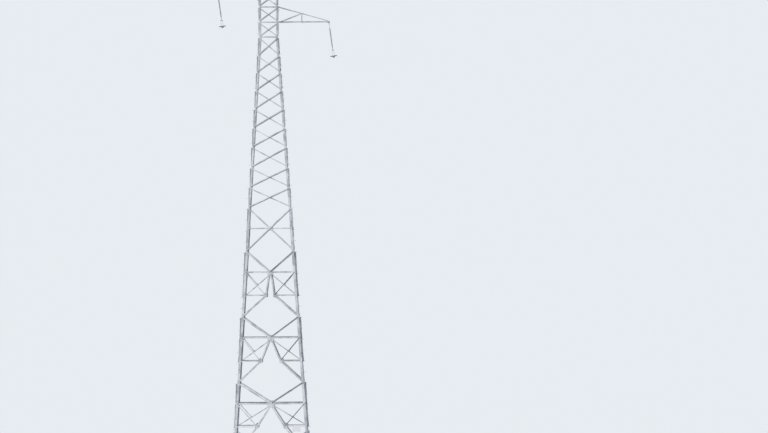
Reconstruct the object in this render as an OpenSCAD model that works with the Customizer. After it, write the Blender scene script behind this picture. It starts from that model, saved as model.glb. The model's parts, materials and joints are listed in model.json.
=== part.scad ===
// Lattice transmission pylon: four tapered legs, cranked K panels below, X panels above,
// a slim square head with three arms, and insulator strings that swing at the arm tips.
// Millimetres, +Z up, +X across the line, +Y along the line away from the front face.

/* [Body] */
// Heel to heel width of the legs at ground level
base_width = 5450; // [5300:10:5600]
// Heel to heel width of the head
head_width = 1280; // [1240:10:1340]
// Height of the waist, where the taper ends
waist_height = 30090; // [29900:10:30200]
// Height of one panel of the head
head_panel = 1070; // [1050:5:1090]
// Number of panels in the head
head_panels = 8; // [8:1:9]

/* [Legs] */
// Flange width of the legs below the splice
leg_flange = 160; // [150:5:170]
// Flange width of the legs above the splice
upper_leg_flange = 130; // [125:5:140]
// Flange thickness of the tapered legs
leg_thickness = 14; // [12:1:16]
// Flange width of the head legs
head_leg_flange = 110; // [105:5:120]
// Flange thickness of the head legs
head_leg_thickness = 10; // [8:1:12]

/* [Bracing] */
// Flange width of the main bars and horizontals in the lower panels
main_flange = 100; // [90:5:105]
// Flange thickness of the main bars
main_thickness = 9; // [8:1:10]
// Flange width of the light bars in the lower panels
light_flange = 65; // [55:5:70]
// Flange thickness of the light bars
light_thickness = 6; // [5:1:7]
// Flange width of the bars in the X panels of the body
body_flange = 75; // [65:5:80]
// Flange thickness of the bars in the X panels of the body
body_thickness = 7; // [6:1:8]
// Flange width of the bars in the head
head_flange = 60; // [50:5:65]
// Flange thickness of the bars in the head
head_thickness = 6; // [5:1:7]

/* [Footings] */
// Width of a concrete footing
footing_width = 660; // [620:10:700]
// Height of the footings above ground
footing_height = 550; // [500:10:580]
// Width of a base plate
base_plate_width = 360; // [340:10:400]
// Thickness of a base plate
base_plate_thickness = 25; // [20:1:30]

/* [Arms] */
// Length of the lower right arm from the leg heels to its tip
lower_right_length = 3600; // [3500:10:3700]
// Length of the left arm
left_length = 2900; // [2800:10:3000]
// Length of the upper right arm
upper_right_length = 2850; // [2750:10:2950]
// Flange width of the lower chords of the arms
chord_flange = 80; // [75:5:85]
// Flange thickness of the lower chords
chord_thickness = 8; // [7:1:9]
// Flange width of the upper chords and braces of the arms
tie_flange = 60; // [50:5:60]
// Flange thickness of the upper chords and braces
tie_thickness = 6; // [5:1:7]

/* [Insulator strings] */
// Lean of the hanging strings towards the right
string_lean = 7.5; // [0:0.5:9]
// Length of the insulating rod
insulator_length = 1310; // [1250:10:1350]
// Diameter of the large sheds
large_shed = 130; // [120:2:140]
// Diameter of the small sheds
small_shed = 100; // [90:2:110]
// Number of pairs of sheds
shed_pairs = 22; // [20:1:24]
// Outer diameter of the grading ring
ring_diameter = 480; // [460:10:500]
// Tube diameter of the grading ring
ring_tube = 52; // [44:2:60]
// Diameter of the conductor that a clamp takes
conductor = 22; // [20:1:26]
// Diameter of the earth wire
earth_wire = 14; // [12:1:16]

/* [Sign plate] */
// Width of the bare sign plate
sign_width = 540; // [500:10:560]
// Height of the bare sign plate
sign_height = 390; // [350:10:420]

/* [Hidden] */
$fn = 48;

head_half = head_width / 2;
head_top = waist_height + head_panels * head_panel;
lean = atan((base_width - head_width) / 2 / waist_height);
touch = 0.2;
// Distance of the footings' centres from the upright axis, to the nearest 5 mm
footing_centre = 5 * round((body_half(footing_height) - 60) / 5);
// The leg flange narrows at the middle one of the splices
splice_height = 16950;
splices = [8220, splice_height, 24400];
splice_length = 620;
splice_thickness = 10;
// Bolts stand this far from bar ends and edges, and the gauge lines follow from it
edge_distance = 25;
gauge = main_flange / 2 + edge_distance;
upper_gauge = body_flange / 2 + edge_distance;
head_gauge = head_flange / 2 + edge_distance;
// Distance of the bars' ends above and below the leg nodes, less in the cranked panels
node_offset = 95;
cranked_offset = 50;
head_node_offset = 110;

// Heights of the three cranked panels: upper leg node, centre node and knee, then half the gap
// of the knees, where the steep bars start beside and below the centre node, and how far below
// it the light bars start
cranked_panels = [[5940, 4460, 2860, 960, 35, 130, 160], [10530, 9068, 7430, 685, 40, 110, 150],
    [15095, 13640, 12015, 300, 66, 60, 120]];
foot_height = 760;
tall_node = 18140;
// Leg nodes of the plain X panels up to the waist
x_nodes = [tall_node, 19570, 20960, 22390, 23740, 25060, 26360, 27620, 28810, waist_height];
lower_right_height = waist_height + head_panel;
left_height = waist_height + 3 * head_panel;
upper_right_height = waist_height + 5 * head_panel;

// Sizes of the fittings: tip plates, eyes, the cheeks of a clevis and the rods between them
tip_plate_thickness = 12;
eye_radius = 45;
eye_thickness = 16;
cheek_thickness = 10;
cheek_half = 24;
cheek_inside = 12;
nut_thickness = 12;
pin_radius = 10;
pin_play = 0.4;
rod_radius = 13;
end_radius = 24;
end_length = 64;
// Drops along a string: between the shackle's pins, from a pin to the end of its clevis, from
// the rod's end to the yoke, and from the yoke to the conductor
shackle_length = 134;
clevis_depth = 74;
yoke_drop = 230;
strap_length = 500;
strap_spread = 61;
clamp_length = 300;
ring_rise = 70;
rod_top = 360;
rod_end = rod_top + insulator_length;
groove_drop = rod_end + yoke_drop + strap_length;
eye_drop = tip_plate_thickness + eye_radius;
pin_drop = chord_flange / 2 + eye_drop;

// Overhang of the top beam past the leg, and its pin's distance from the leg
beam_overhang = 300;
beam_pin = 262;
beam_half = 40;
beam_height = 90;
earth_eye = 35;
earth_eye_drop = 35;

steel = [0.72, 0.74, 0.76];
dark_steel = [0.35, 0.37, 0.4];
concrete = [0.9, 0.9, 0.88];
polymer = [0.42, 0.48, 0.56];

// Half of the heel to heel width at a height of the tapered body
function body_half(z) = (base_width + (head_width - base_width) * z / waist_height) / 2;
// A point of a tapered face from its true height
function face_point(x, z) = [x, z / cos(lean)];
// A point on the leg of a tapered face, a distance in from the heel
function leg_point(side, z, inset) = face_point(side * (body_half(z) - inset), z);
// Where the line p to q meets the line r to s
function crossing(p, q, r, s) =
    let (d = q - p, e = s - r, k = ((r[0] - p[0]) * e[1] - (r[1] - p[1]) * e[0])
        / (d[0] * e[1] - d[1] * e[0])) p + k * d;

// Ends of the tall X between the cranked panels and the plain ones, and its crossing
tall_low = cranked_panels[2][0] + node_offset;
tall_high = tall_node - node_offset;
tall_ends = [leg_point(-1, tall_low, gauge), leg_point(1, tall_low, gauge),
    leg_point(-1, tall_high, upper_gauge), leg_point(1, tall_high, upper_gauge)];
tall_crossing = crossing(tall_ends[0], tall_ends[3], tall_ends[1], tall_ends[2])[1] * cos(lean);

// Places children in the plane of tapered face k: 0 front, 1 right, 2 back, 3 left
module on_body_face(k) {
    rotate([0, 0, 90 * k]) translate([0, -base_width / 2, 0]) rotate([90 - lean, 0, 0]) children();
}

// Places children in the plane of head face k
module on_head_face(k) {
    rotate([0, 0, 90 * k]) translate([0, -head_half, 0]) rotate([90, 0, 0]) children();
}

// Section of an angle bar: side is the way it stands out, edge is the edge it stands on
module angle_section(b, t, side, edge) {
    polygon([[-edge * b / 2, 0], [edge * b / 2, 0], [edge * b / 2, side * t],
        [edge * (t - b / 2), side * t], [edge * (t - b / 2), side * b], [-edge * b / 2, side * b]]);
}

// An angle bar from p to q on the plane at depth n
module bar(p, q, b, t, n, side, edge, trim_p = 0, trim_q = 0) {
    d = q - p;
    translate([p[0], p[1], n]) rotate([0, 0, atan2(d[1], d[0])])
        translate([trim_p, 0, 0]) rotate([90, 0, 90])
            linear_extrude(norm(d) - trim_p - trim_q) angle_section(b, t, side, edge);
}

// A bar bolted on the outside of the leg flanges
module outer_bar(p, q, b, t, edge, trim_p = -edge_distance, trim_q = -edge_distance) {
    bar(p, q, b, t, 0, 1, edge, trim_p, trim_q);
}

// A bar bolted on the inside of leg flanges of the given thickness
module inner_bar(p, q, b, t, edge, leg_t, trim_p = -edge_distance, trim_q = -edge_distance) {
    bar(p, q, b, t, -leg_t, -1, edge, trim_p, trim_q);
}

// A packing washer between an outer and an inner bar
module packing(p, r, leg_t) {
    translate([p[0], p[1], -leg_t]) cylinder(h = leg_t, r = r, $fn = 8);
}

// One X panel between two pairs of leg points, with a packing washer at its crossing
module x_panel(a, b, c, d, flange, t, edge, leg_t) {
    outer_bar(a, d, flange, t, edge);
    inner_bar(b, c, flange, t, edge, leg_t);
    packing(crossing(a, d, b, c), flange * 0.42, leg_t);
}

// A plate in the plane of the leg flanges
module gusset(p, outline, leg_t) {
    translate([p[0], p[1], -leg_t]) linear_extrude(leg_t) polygon(outline);
}

module footing(k) {
    w = footing_width / 2;
    bevel = 45;
    outline = [[-w, 0], [w, 0], [w, footing_height - bevel], [w - bevel, footing_height],
        [bevel - w, footing_height], [-w, footing_height - bevel]];
    color(concrete) rotate([0, 0, 90 * k]) translate([-footing_centre, -footing_centre, 0])
        intersection() {
            translate([0, w, 0]) rotate([90, 0, 0]) linear_extrude(footing_width) polygon(outline);
            translate([-w, 0, 0]) rotate([90, 0, 90]) linear_extrude(footing_width)
                polygon(outline);
        }
}

// One flange of a tapered leg, in the plane of its face
module leg_strip(side) {
    low = footing_height - 60;
    high = waist_height + 40;
    outline = [face_point(side * body_half(low), low), face_point(side * body_half(high), high),
        face_point(side * (body_half(high) - upper_leg_flange), high),
        face_point(side * (body_half(splice_height) - upper_leg_flange), splice_height),
        face_point(side * (body_half(splice_height) - leg_flange), splice_height),
        face_point(side * (body_half(low) - leg_flange), low)];
    translate([0, 0, -leg_thickness]) linear_extrude(leg_thickness) polygon(outline);
}

// Cover plates over the splices, on the outside of one flange
module splice_plates(side) {
    for (z = splices) {
        flange = z < splice_height ? leg_flange : upper_leg_flange;
        w = flange / 2 - 8;
        l = splice_length / 2;
        translate(concat(leg_point(side, z, flange / 2), [-1]))
            rotate([0, 0, side * atan(tan(lean) * cos(lean))]) linear_extrude(splice_thickness + 1)
                polygon([[-w, 30 - l], [30 - w, -l], [w - 30, -l], [w, 30 - l], [w, l - 30],
                    [w - 30, l], [30 - w, l], [-w, l - 30]]);
    }
}

// Stiffener between the outside of one flange and the base plate
module base_stiffener(side) {
    foot = leg_point(side, footing_height, leg_flange / 2);
    translate([foot[0] - 6, foot[1], 0]) rotate([90, 0, 90]) linear_extrude(12)
        polygon([[-60, -2], [-60, 95], [45, 95], [250, 14], [250, -2]]);
}

// Leg k stands between face k and the face before it
module body_leg(k) {
    color(steel) union() {
        difference() {
            union() {
                on_body_face(k) {
                    leg_strip(-1);
                    splice_plates(-1);
                    base_stiffener(-1);
                }
                on_body_face((k + 3) % 4) {
                    leg_strip(1);
                    splice_plates(1);
                    base_stiffener(1);
                }
            }
            translate([-base_width, -base_width, footing_height - 1000])
                cube([2 * base_width, 2 * base_width, 1000 + base_plate_thickness / 2]);
            translate([-base_width, -base_width, waist_height])
                cube([2 * base_width, 2 * base_width, 1000]);
        }
        rotate([0, 0, 90 * k])
            translate([-footing_centre, -footing_centre, footing_height + base_plate_thickness / 2])
                cube([base_plate_width, base_plate_width, base_plate_thickness], center = true);
    }
}

module head_legs() {
    color(steel) for (k = [0:3])
        rotate([0, 0, 90 * k]) translate([-head_half, -head_half, waist_height])
            linear_extrude(head_top - waist_height) polygon([[0, 0], [head_leg_flange, 0],
                [head_leg_flange, head_leg_thickness], [head_leg_thickness, head_leg_thickness],
                [head_leg_thickness, head_leg_flange], [0, head_leg_flange]]);
}

// Half of a cranked K panel, side -1 for the left half and 1 for the right. On the front face a
// long diagonal braces its knee, and on the others a light bar with a half diagonal on top
module cranked_half(side, panel, lower_node, edge, long_diagonal) {
    leg_z = panel[0];
    centre_z = panel[1];
    knee_z = panel[2];
    knee = face_point(side * panel[3], knee_z);
    centre = face_point(0, centre_z);
    e = edge * side;
    knee_leg = leg_point(side, knee_z, gauge);
    diagonal = [leg_point(side, centre_z - 20, gauge), knee + [0, 15]];
    light = [face_point(0, centre_z - panel[6]), leg_point(side, knee_z - 50, gauge)];
    meet = crossing(diagonal[0], diagonal[1], light[0], light[1]);
    outer_bar(leg_point(side, leg_z - cranked_offset, gauge), centre, main_flange, main_thickness,
        e, -edge_distance, 60);
    inner_bar(face_point(side * panel[4], centre_z - panel[5]), knee, main_flange, main_thickness,
        e, leg_thickness, 60, 32);
    inner_bar(knee, leg_point(side, lower_node, gauge), main_flange, main_thickness, e,
        leg_thickness, 32, 10 - edge_distance);
    inner_bar(knee, knee_leg, light_flange, light_thickness, -e, leg_thickness, 100);
    if (long_diagonal) {
        outer_bar(diagonal[0], diagonal[1], light_flange, light_thickness, e, -edge_distance, 40);
    } else {
        outer_bar(diagonal[0], meet, light_flange, light_thickness, e, -edge_distance,
            light_flange * 0.75);
        outer_bar(light[0], light[1], light_flange, light_thickness, -e, 90);
        gusset(meet, [for (p = [[-60, -30], [40, -60], [110, 20], [100, 110], [20, 110], [-60, 40]])
            [p[0] * side, p[1]]], leg_thickness);
    }
    gusset(knee, [for (p = [[-90, -70], [-40, -150], [110, -150], [170, -50], [170, 110], [110, 170],
        [-80, 170]]) [p[0] * side, p[1]]], leg_thickness);
}

// The light bars that hold the lowest outward bar between knee and foot
module foot_lights(side, edge) {
    panel = cranked_panels[0];
    knee = face_point(side * panel[3], panel[2]);
    foot = leg_point(side, foot_height, gauge);
    meet = knee + 0.47 * (foot - knee);
    meet_z = meet[1] * cos(lean);
    outer_bar(leg_point(side, panel[2] - 390, gauge), meet, light_flange, light_thickness,
        edge * side, -edge_distance, 10);
    outer_bar(meet - [0, 95], leg_point(side, meet_z - 95, gauge), light_flange, light_thickness,
        edge * side, 10);
    gusset(meet - [0, 30], [[-70, -110], [70, -110], [70, 90], [-70, 90]], leg_thickness);
}

module lower_bracing(k) {
    edge = k % 2 == 0 ? 1 : -1;
    color(steel) on_body_face(k) union() {
        for (i = [0:2]) {
            lower_node = i == 0 ? foot_height : cranked_panels[i - 1][0] + cranked_offset;
            for (side = [-1, 1])
                cranked_half(side, cranked_panels[i], lower_node, edge, k == 0);
            inner_bar(leg_point(-1, cranked_panels[i][1], gauge),
                leg_point(1, cranked_panels[i][1], gauge), main_flange, main_thickness, -edge,
                leg_thickness);
            w = 230 - 25 * i;
            d = 275 - 20 * i;
            gusset(face_point(0, cranked_panels[i][1]), [[-w, 100 - d], [45 - w, -d], [w - 45, -d],
                [w, 100 - d], [w, 65], [w - 60, 135], [60 - w, 135], [-w, 65]], leg_thickness);
        }
        for (side = [-1, 1])
            foot_lights(side, edge);
        outer_bar(tall_ends[0], tall_ends[3], body_flange, body_thickness, edge);
        inner_bar(tall_ends[1], tall_ends[2], body_flange, body_thickness, edge, leg_thickness);
        gusset(face_point(0, tall_crossing), [[-190, -70], [-90, -150], [90, -150], [190, -70],
            [190, 70], [90, 150], [-90, 150], [-190, 70]], leg_thickness);
        for (side = [-1, 1])
            inner_bar(face_point(0, tall_crossing), leg_point(side, tall_crossing, upper_gauge),
                body_flange, body_thickness, -edge * side, leg_thickness, 120);
    }
}

module upper_bracing(k) {
    edge = k % 2 == 0 ? 1 : -1;
    color(steel) on_body_face(k) union() {
        for (i = [0:len(x_nodes) - 2]) {
            low = x_nodes[i] + node_offset;
            high = x_nodes[i + 1] - node_offset;
            x_panel(leg_point(-1, low, upper_gauge), leg_point(1, low, upper_gauge),
                leg_point(-1, high, upper_gauge), leg_point(1, high, upper_gauge), body_flange,
                body_thickness, edge, leg_thickness);
        }
    }
}

module head_bracing(k) {
    edge = k % 2 == 0 ? 1 : -1;
    x = head_half - head_gauge;
    color(steel) on_head_face(k) union() {
        for (i = [0:head_panels - 1]) {
            low = waist_height + i * head_panel + head_node_offset;
            high = low + head_panel - 2 * head_node_offset;
            x_panel([-x, low], [x, low], [-x, high], [x, high], head_flange, head_thickness, edge,
                head_leg_thickness);
        }
        for (z = head_levels)
            inner_bar([-x, z], [x, z], head_flange, head_thickness, -edge, head_leg_thickness);
    }
}

// Heights of the horizontals in the head
head_levels = [waist_height + head_flange / 2 + 4, lower_right_height,
    lower_right_height + head_panel, left_height, left_height + head_panel, upper_right_height,
    upper_right_height + head_panel, head_top - head_flange / 2];

// A level frame of angle bars, from a list of pairs of plan points, with its top at z
module level_frame(ends, z, b, t) {
    for (e = ends)
        translate([0, 0, z]) bar(e[0], e[1], b, t, 0, -1, 1);
}

module body_diaphragms() {
    color(steel) union() {
        for (i = [0:2]) {
            z = cranked_panels[i][1];
            r = body_half(z) - leg_thickness - 45;
            top = z + (main_flange / 2 - main_thickness) * cos(lean)
                - (leg_thickness + main_flange) * sin(lean) - touch;
            level_frame([[[0, -r], [r, 0]], [[r, 0], [0, r]], [[0, r], [-r, 0]], [[-r, 0], [0, -r]]],
                top, light_flange, light_thickness);
        }
        r = body_half(tall_crossing) - leg_thickness - 60;
        top = tall_crossing + (body_flange / 2 - body_thickness) * cos(lean)
            - (leg_thickness + body_flange) * sin(lean) - touch;
        level_frame([[[-r, -r], [r, r]], [[-r, r], [r, -r]]], top, body_flange - 20, light_thickness);
    }
}

module head_diaphragms() {
    r = head_half - head_leg_thickness - 60;
    color(steel) union() {
        for (z = head_levels)
            level_frame([[[-r, -r], [r, r]], [[-r, r], [r, -r]]],
                z + head_flange / 2 - head_thickness - touch, head_flange - 15, head_thickness);
    }
}

// One side of an arm, in its own upright plane, with x along the arm from the leg heel
module arm_side(length, tip_half) {
    turn = atan((head_half - tip_half) / length);
    reach = length / cos(turn);
    post = 0.47 * reach;
    low = [0, 0];
    tip = [reach, 0];
    top_root = [0, head_panel];
    top_tip = [reach - 40, 55];
    slope = (top_tip - top_root) / norm(top_tip - top_root);
    post_top = top_root + slope * (post / slope[0]);
    translate([head_half, -head_half - 8, 0]) rotate([0, 0, turn]) rotate([90, 0, 0]) {
        bar(low, tip, chord_flange, chord_thickness, 0, -1, 1, 24, -60);
        bar(top_root, top_tip, tie_flange, tie_thickness, 0, -1, -1, 24, -30);
        bar([post, 0], post_top, tie_flange - 10, tie_thickness, 0, 1, 1, -25, -20);
        bar([150, 0], post_top, tie_flange - 10, tie_thickness, 0, 1, 1, -10, 60);
    }
    translate([head_half, -head_half, 0]) rotate([90, 0, 0]) {
        translate([-95, -42, 0]) cube([225, 84, 10]);
        translate([-95, head_panel - 42, 0]) cube([225, 84, 10]);
    }
}

module arm(length) {
    tip_half = 52;
    post = 0.47 * length;
    half = head_half + 8 + (tip_half - head_half) * 0.47 - chord_thickness - 4;
    union() {
        for (m = [0, 1])
            mirror([0, m, 0]) arm_side(length, tip_half);
        translate([head_half, 0, chord_thickness - chord_flange / 2 + tie_thickness - 1]) {
            bar([post, -half], [post, half], tie_flange - 10, tie_thickness, -tie_thickness, 1, 1, 0, 0);
            bar([120, half + 230], [post - 60, 30 - half], tie_flange - 10, tie_thickness,
                -tie_thickness, 1, 1, 0, 0);
        }
    }
}

// Plate across the tip of an arm, with the eye that a string hangs from
module tip_plate(length) {
    translate([head_half + length, 0, -chord_flange / 2]) {
        translate([0, 0, -tip_plate_thickness]) linear_extrude(tip_plate_thickness)
            polygon([[-190, -90], [30, -60], [60, -30], [60, 30], [30, 60], [-190, 90]]);
        translate([0, eye_thickness / 2, 0]) rotate([90, 0, 0]) linear_extrude(eye_thickness)
            difference() {
                union() {
                    polygon([[-80, 2 - tip_plate_thickness], [50, 2 - tip_plate_thickness],
                        [eye_radius, -eye_drop], [-eye_radius, -eye_drop]]);
                    translate([0, -eye_drop]) circle(r = eye_radius);
                }
                translate([0, -eye_drop]) circle(r = pin_radius + pin_play);
            }
    }
}

// Places children at a string's upper pin, leaning with the string
module at_string(side, length, height) {
    translate([side * (head_half + length), 0, height - pin_drop]) rotate([0, -string_lean, 0])
        children();
}

// Two cheeks around an eye, with their pin along Y and the block that joins them
module clevis(drop) {
    outside = cheek_inside + cheek_thickness;
    for (s = [-1, 1]) {
        translate([0, s * (cheek_inside + outside) / 2, 0]) rotate([90, 0, 0])
            translate([0, 0, -cheek_thickness / 2]) linear_extrude(cheek_thickness) {
                circle(r = cheek_half + 2);
                translate([-cheek_half, -drop]) square([2 * cheek_half, drop]);
            }
        rotate([90, 0, 0]) translate([0, 0, s * (outside + nut_thickness / 2) - nut_thickness / 2])
            cylinder(h = nut_thickness, r = 17, $fn = 6);
    }
    rotate([90, 0, 0]) translate([0, 0, -outside - nut_thickness])
        cylinder(h = 2 * (outside + nut_thickness), r = pin_radius);
    translate([-cheek_half, -outside, -drop - 4]) cube([2 * cheek_half, 2 * outside, 18]);
}

// Clevis above, and below it an eye across, bored for the link's pin
module shackle() {
    difference() {
        union() {
            clevis(clevis_depth);
            translate([-eye_thickness / 2, -cheek_half, -shackle_length])
                cube([eye_thickness, 2 * cheek_half, shackle_length - clevis_depth]);
            translate([-eye_thickness / 2, 0, -shackle_length]) rotate([0, 90, 0])
                cylinder(h = eye_thickness, r = cheek_half);
        }
        translate([-eye_thickness, 0, -shackle_length]) rotate([0, 90, 0])
            cylinder(h = 2 * eye_thickness, r = pin_radius + pin_play);
    }
}

module link() {
    rod_bottom = end_length - rod_top;
    translate([0, 0, -shackle_length]) rotate([0, 0, 90]) clevis(clevis_depth);
    translate([0, 0, rod_bottom - 4])
        cylinder(h = 8 - rod_bottom - shackle_length - clevis_depth, r = rod_radius);
    translate([0, 0, -rod_top]) cylinder(h = end_length, r = end_radius);
}

// The insulating rod with its sheds, large and small by turns
module insulator() {
    pitch = insulator_length / shed_pairs;
    core = 17;
    outline = [for (i = [0:shed_pairs - 1]) let (z = i * pitch)
        each [[core, z], [core, z + pitch * 0.18], [large_shed / 2, z + pitch * 0.18 + 3],
            [large_shed / 2, z + pitch * 0.18 + 7], [core, z + pitch * 0.18 + 19],
            [core, z + pitch * 0.62], [small_shed / 2, z + pitch * 0.62 + 3],
            [small_shed / 2, z + pitch * 0.62 + 6], [core, z + pitch * 0.62 + 15]]];
    translate([0, 0, -rod_end]) rotate_extrude()
        polygon(concat([[0, 0]], outline, [[core, insulator_length], [0, insulator_length]]));
}

// Long section of a clamp body, with its ends flared, bored along Y for its wire
module clamp_body(length, width, depth, top, wire) {
    difference() {
        translate([-width / 2, 0, 0]) rotate([90, 0, 90]) linear_extrude(width)
            polygon([[-length / 2, -top / 2], [-length / 2, top * 0.8], [-length * 0.4, top],
                [length * 0.4, top], [length / 2, top * 0.8], [length / 2, -top / 2],
                [length * 0.2, -depth], [-length * 0.2, -depth]]);
        translate([0, -length, 0]) rotate([-90, 0, 0]) cylinder(h = 2 * length, r = wire / 2);
    }
}

// Fitting, rod, yoke and two straps down to the trunnion of the conductor's clamp
module clamp() {
    translate([0, 0, -rod_end - end_length]) cylinder(h = end_length, r = end_radius);
    translate([0, 0, -rod_end - yoke_drop]) cylinder(h = yoke_drop - end_length + 4, r = rod_radius);
    translate([-strap_spread - 5, -25, -rod_end - yoke_drop - 30]) cube([2 * strap_spread + 10, 50, 34]);
    for (s = [-1, 1]) {
        translate([s * strap_spread - 5, 0, -groove_drop]) rotate([90, 0, 90]) linear_extrude(10) {
            circle(r = 30);
            translate([-25, 0]) square([50, strap_length]);
        }
        translate([s * (strap_spread + 10) - 6, 0, -groove_drop]) rotate([0, 90, 0])
            cylinder(h = 12, r = 17, $fn = 6);
    }
    translate([0, 0, -groove_drop]) {
        clamp_body(clamp_length, 64, 48, 16, conductor);
        for (s = [-1, 1])
            translate([s > 0 ? 30 : 2 - strap_spread, -20, -20]) cube([strap_spread - 32, 40, 40]);
    }
}

// Grading ring, with the two spokes that hold it to the straps
module ring() {
    radius = (ring_diameter - ring_tube) / 2;
    inner = strap_spread + 5;
    translate([0, 0, -groove_drop + ring_rise]) {
        rotate_extrude() translate([radius, 0]) circle(r = ring_tube / 2);
        for (s = [-1, 1])
            translate([s > 0 ? inner : -radius, -20, -5]) cube([radius - inner, 40, 10]);
    }
}

// Channel across the flat top, open upwards, with the eye of the earth wire's clamp under it
module earth_wire_beam() {
    color(steel) union() {
        translate([-head_half - beam_overhang, 0, head_top]) rotate([90, 0, 90])
            linear_extrude(head_width + beam_overhang + 40)
                polygon([[-beam_half, 0], [beam_half, 0], [beam_half, beam_height],
                    [beam_half - 8, beam_height], [beam_half - 8, 8], [8 - beam_half, 8],
                    [8 - beam_half, beam_height], [-beam_half, beam_height]]);
        translate([-head_half - beam_pin, eye_thickness / 2, head_top]) rotate([90, 0, 0])
            linear_extrude(eye_thickness) difference() {
                union() {
                    translate([-earth_eye, -earth_eye_drop]) square([2 * earth_eye, earth_eye_drop + 4]);
                    translate([0, -earth_eye_drop]) circle(r = earth_eye);
                }
                translate([0, -earth_eye_drop]) circle(r = pin_radius + pin_play);
            }
    }
}

// Clevis, rod, yoke and two straps down to the earth wire's clamp
module earth_wire_clamp() {
    drop = 480;
    rod = 330;
    color(dark_steel) translate([-head_half - beam_pin, 0, head_top - earth_eye_drop]) {
        clevis(64);
        translate([0, 0, -rod]) cylinder(h = rod - 60, r = 11);
        translate([-9, -60, -rod]) cube([18, 120, 30]);
        for (s = [-1, 1])
            translate([-9, s * 52 - 8, 10 - drop]) cube([18, 16, drop - rod + 6]);
        translate([0, 0, -drop]) clamp_body(220, 44, 36, 13, earth_wire);
    }
}

// Bare plate under the right-hand knee bar, on its outer face
module sign_plate() {
    panel = cranked_panels[0];
    x = (panel[3] + body_half(panel[2])) / 2 + 40;
    color(concrete) on_body_face(0)
        translate(concat(face_point(x - sign_width / 2, panel[2] + 22) - [0, sign_height],
            [-leg_thickness])) cube([sign_width, sign_height, 3]);
}

// Stands the pylon with the middle of its front left footing on the origin
module standing() {
    translate([footing_centre, footing_centre, 0]) children();
}

module lower_right_place() {
    standing() at_string(1, lower_right_length, lower_right_height) children();
}

module left_place() {
    standing() at_string(-1, left_length, left_height) children();
}

module upper_right_place() {
    standing() at_string(1, upper_right_length, upper_right_height) children();
}

standing() footing(0);  // footing_front_left
standing() footing(1);  // footing_front_right
standing() footing(2);  // footing_back_right
standing() footing(3);  // footing_back_left
standing() body_leg(0);  // leg_front_left
standing() body_leg(1);  // leg_front_right
standing() body_leg(2);  // leg_back_right
standing() body_leg(3);  // leg_back_left
standing() head_legs();
standing() lower_bracing(0);  // front_lower_bracing
standing() lower_bracing(1);  // right_lower_bracing
standing() lower_bracing(2);  // back_lower_bracing
standing() lower_bracing(3);  // left_lower_bracing
standing() upper_bracing(0);  // front_upper_bracing
standing() upper_bracing(1);  // right_upper_bracing
standing() upper_bracing(2);  // back_upper_bracing
standing() upper_bracing(3);  // left_upper_bracing
standing() head_bracing(0);  // front_head_bracing
standing() head_bracing(1);  // right_head_bracing
standing() head_bracing(2);  // back_head_bracing
standing() head_bracing(3);  // left_head_bracing
standing() body_diaphragms();
standing() head_diaphragms();
color(steel) standing() translate([0, 0, lower_right_height]) arm(lower_right_length);  // lower_right_arm
color(steel) standing() translate([0, 0, left_height]) mirror([1, 0, 0]) arm(left_length);  // left_arm
color(steel) standing() translate([0, 0, upper_right_height]) arm(upper_right_length);  // upper_right_arm
color(steel) standing() {  // arm_tip_plates
    translate([0, 0, lower_right_height]) tip_plate(lower_right_length);
    translate([0, 0, left_height]) mirror([1, 0, 0]) tip_plate(left_length);
    translate([0, 0, upper_right_height]) tip_plate(upper_right_length);
}
standing() earth_wire_beam();
standing() earth_wire_clamp();
standing() sign_plate();
color(steel) lower_right_place() shackle();  // lower_right_shackle
color(steel) lower_right_place() link();  // lower_right_link
color(polymer) lower_right_place() insulator();  // lower_right_insulator
color(dark_steel) lower_right_place() clamp();  // lower_right_clamp
color(dark_steel) lower_right_place() ring();  // lower_right_ring
color(steel) left_place() shackle();  // left_shackle
color(steel) left_place() link();  // left_link
color(polymer) left_place() insulator();  // left_insulator
color(dark_steel) left_place() clamp();  // left_clamp
color(dark_steel) left_place() ring();  // left_ring
color(steel) upper_right_place() shackle();  // upper_right_shackle
color(steel) upper_right_place() link();  // upper_right_link
color(polymer) upper_right_place() insulator();  // upper_right_insulator
color(dark_steel) upper_right_place() clamp();  // upper_right_clamp
color(dark_steel) upper_right_place() ring();  // upper_right_ring
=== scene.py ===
"""Dresses the lattice transmission pylon: fixings, sheds, finishes, studio and camera."""

import json
import logging
import math
import random
from dataclasses import dataclass, field
from enum import Enum
from typing import Iterable, Iterator, Sequence

import bpy
from mathutils import Matrix, Vector


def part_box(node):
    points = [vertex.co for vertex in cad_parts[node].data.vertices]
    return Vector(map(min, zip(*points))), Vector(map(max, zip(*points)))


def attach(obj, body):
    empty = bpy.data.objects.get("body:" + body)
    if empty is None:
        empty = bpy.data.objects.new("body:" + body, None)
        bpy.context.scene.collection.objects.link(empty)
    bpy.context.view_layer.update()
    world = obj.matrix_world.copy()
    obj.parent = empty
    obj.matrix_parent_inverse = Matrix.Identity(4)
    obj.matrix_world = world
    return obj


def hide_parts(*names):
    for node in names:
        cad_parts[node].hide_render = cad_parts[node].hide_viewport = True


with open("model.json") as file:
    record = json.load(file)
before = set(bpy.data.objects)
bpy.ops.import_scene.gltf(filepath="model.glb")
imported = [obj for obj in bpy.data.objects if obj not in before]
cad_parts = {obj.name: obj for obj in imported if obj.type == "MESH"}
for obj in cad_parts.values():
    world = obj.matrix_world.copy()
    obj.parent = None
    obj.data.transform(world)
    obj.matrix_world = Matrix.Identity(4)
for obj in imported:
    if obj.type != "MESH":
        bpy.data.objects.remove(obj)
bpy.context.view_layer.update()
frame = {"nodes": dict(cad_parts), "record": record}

LOG = logging.getLogger("pylon")
FACES = ("front", "right", "back", "left")
SIDES = (-1, 1)
Point = tuple[float, float]
Colour = tuple[float, float, float]
Piece = bpy.types.Object
Socket = bpy.types.NodeSocket
Inputs = dict[str, Socket | float]


# Places and turns


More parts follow.
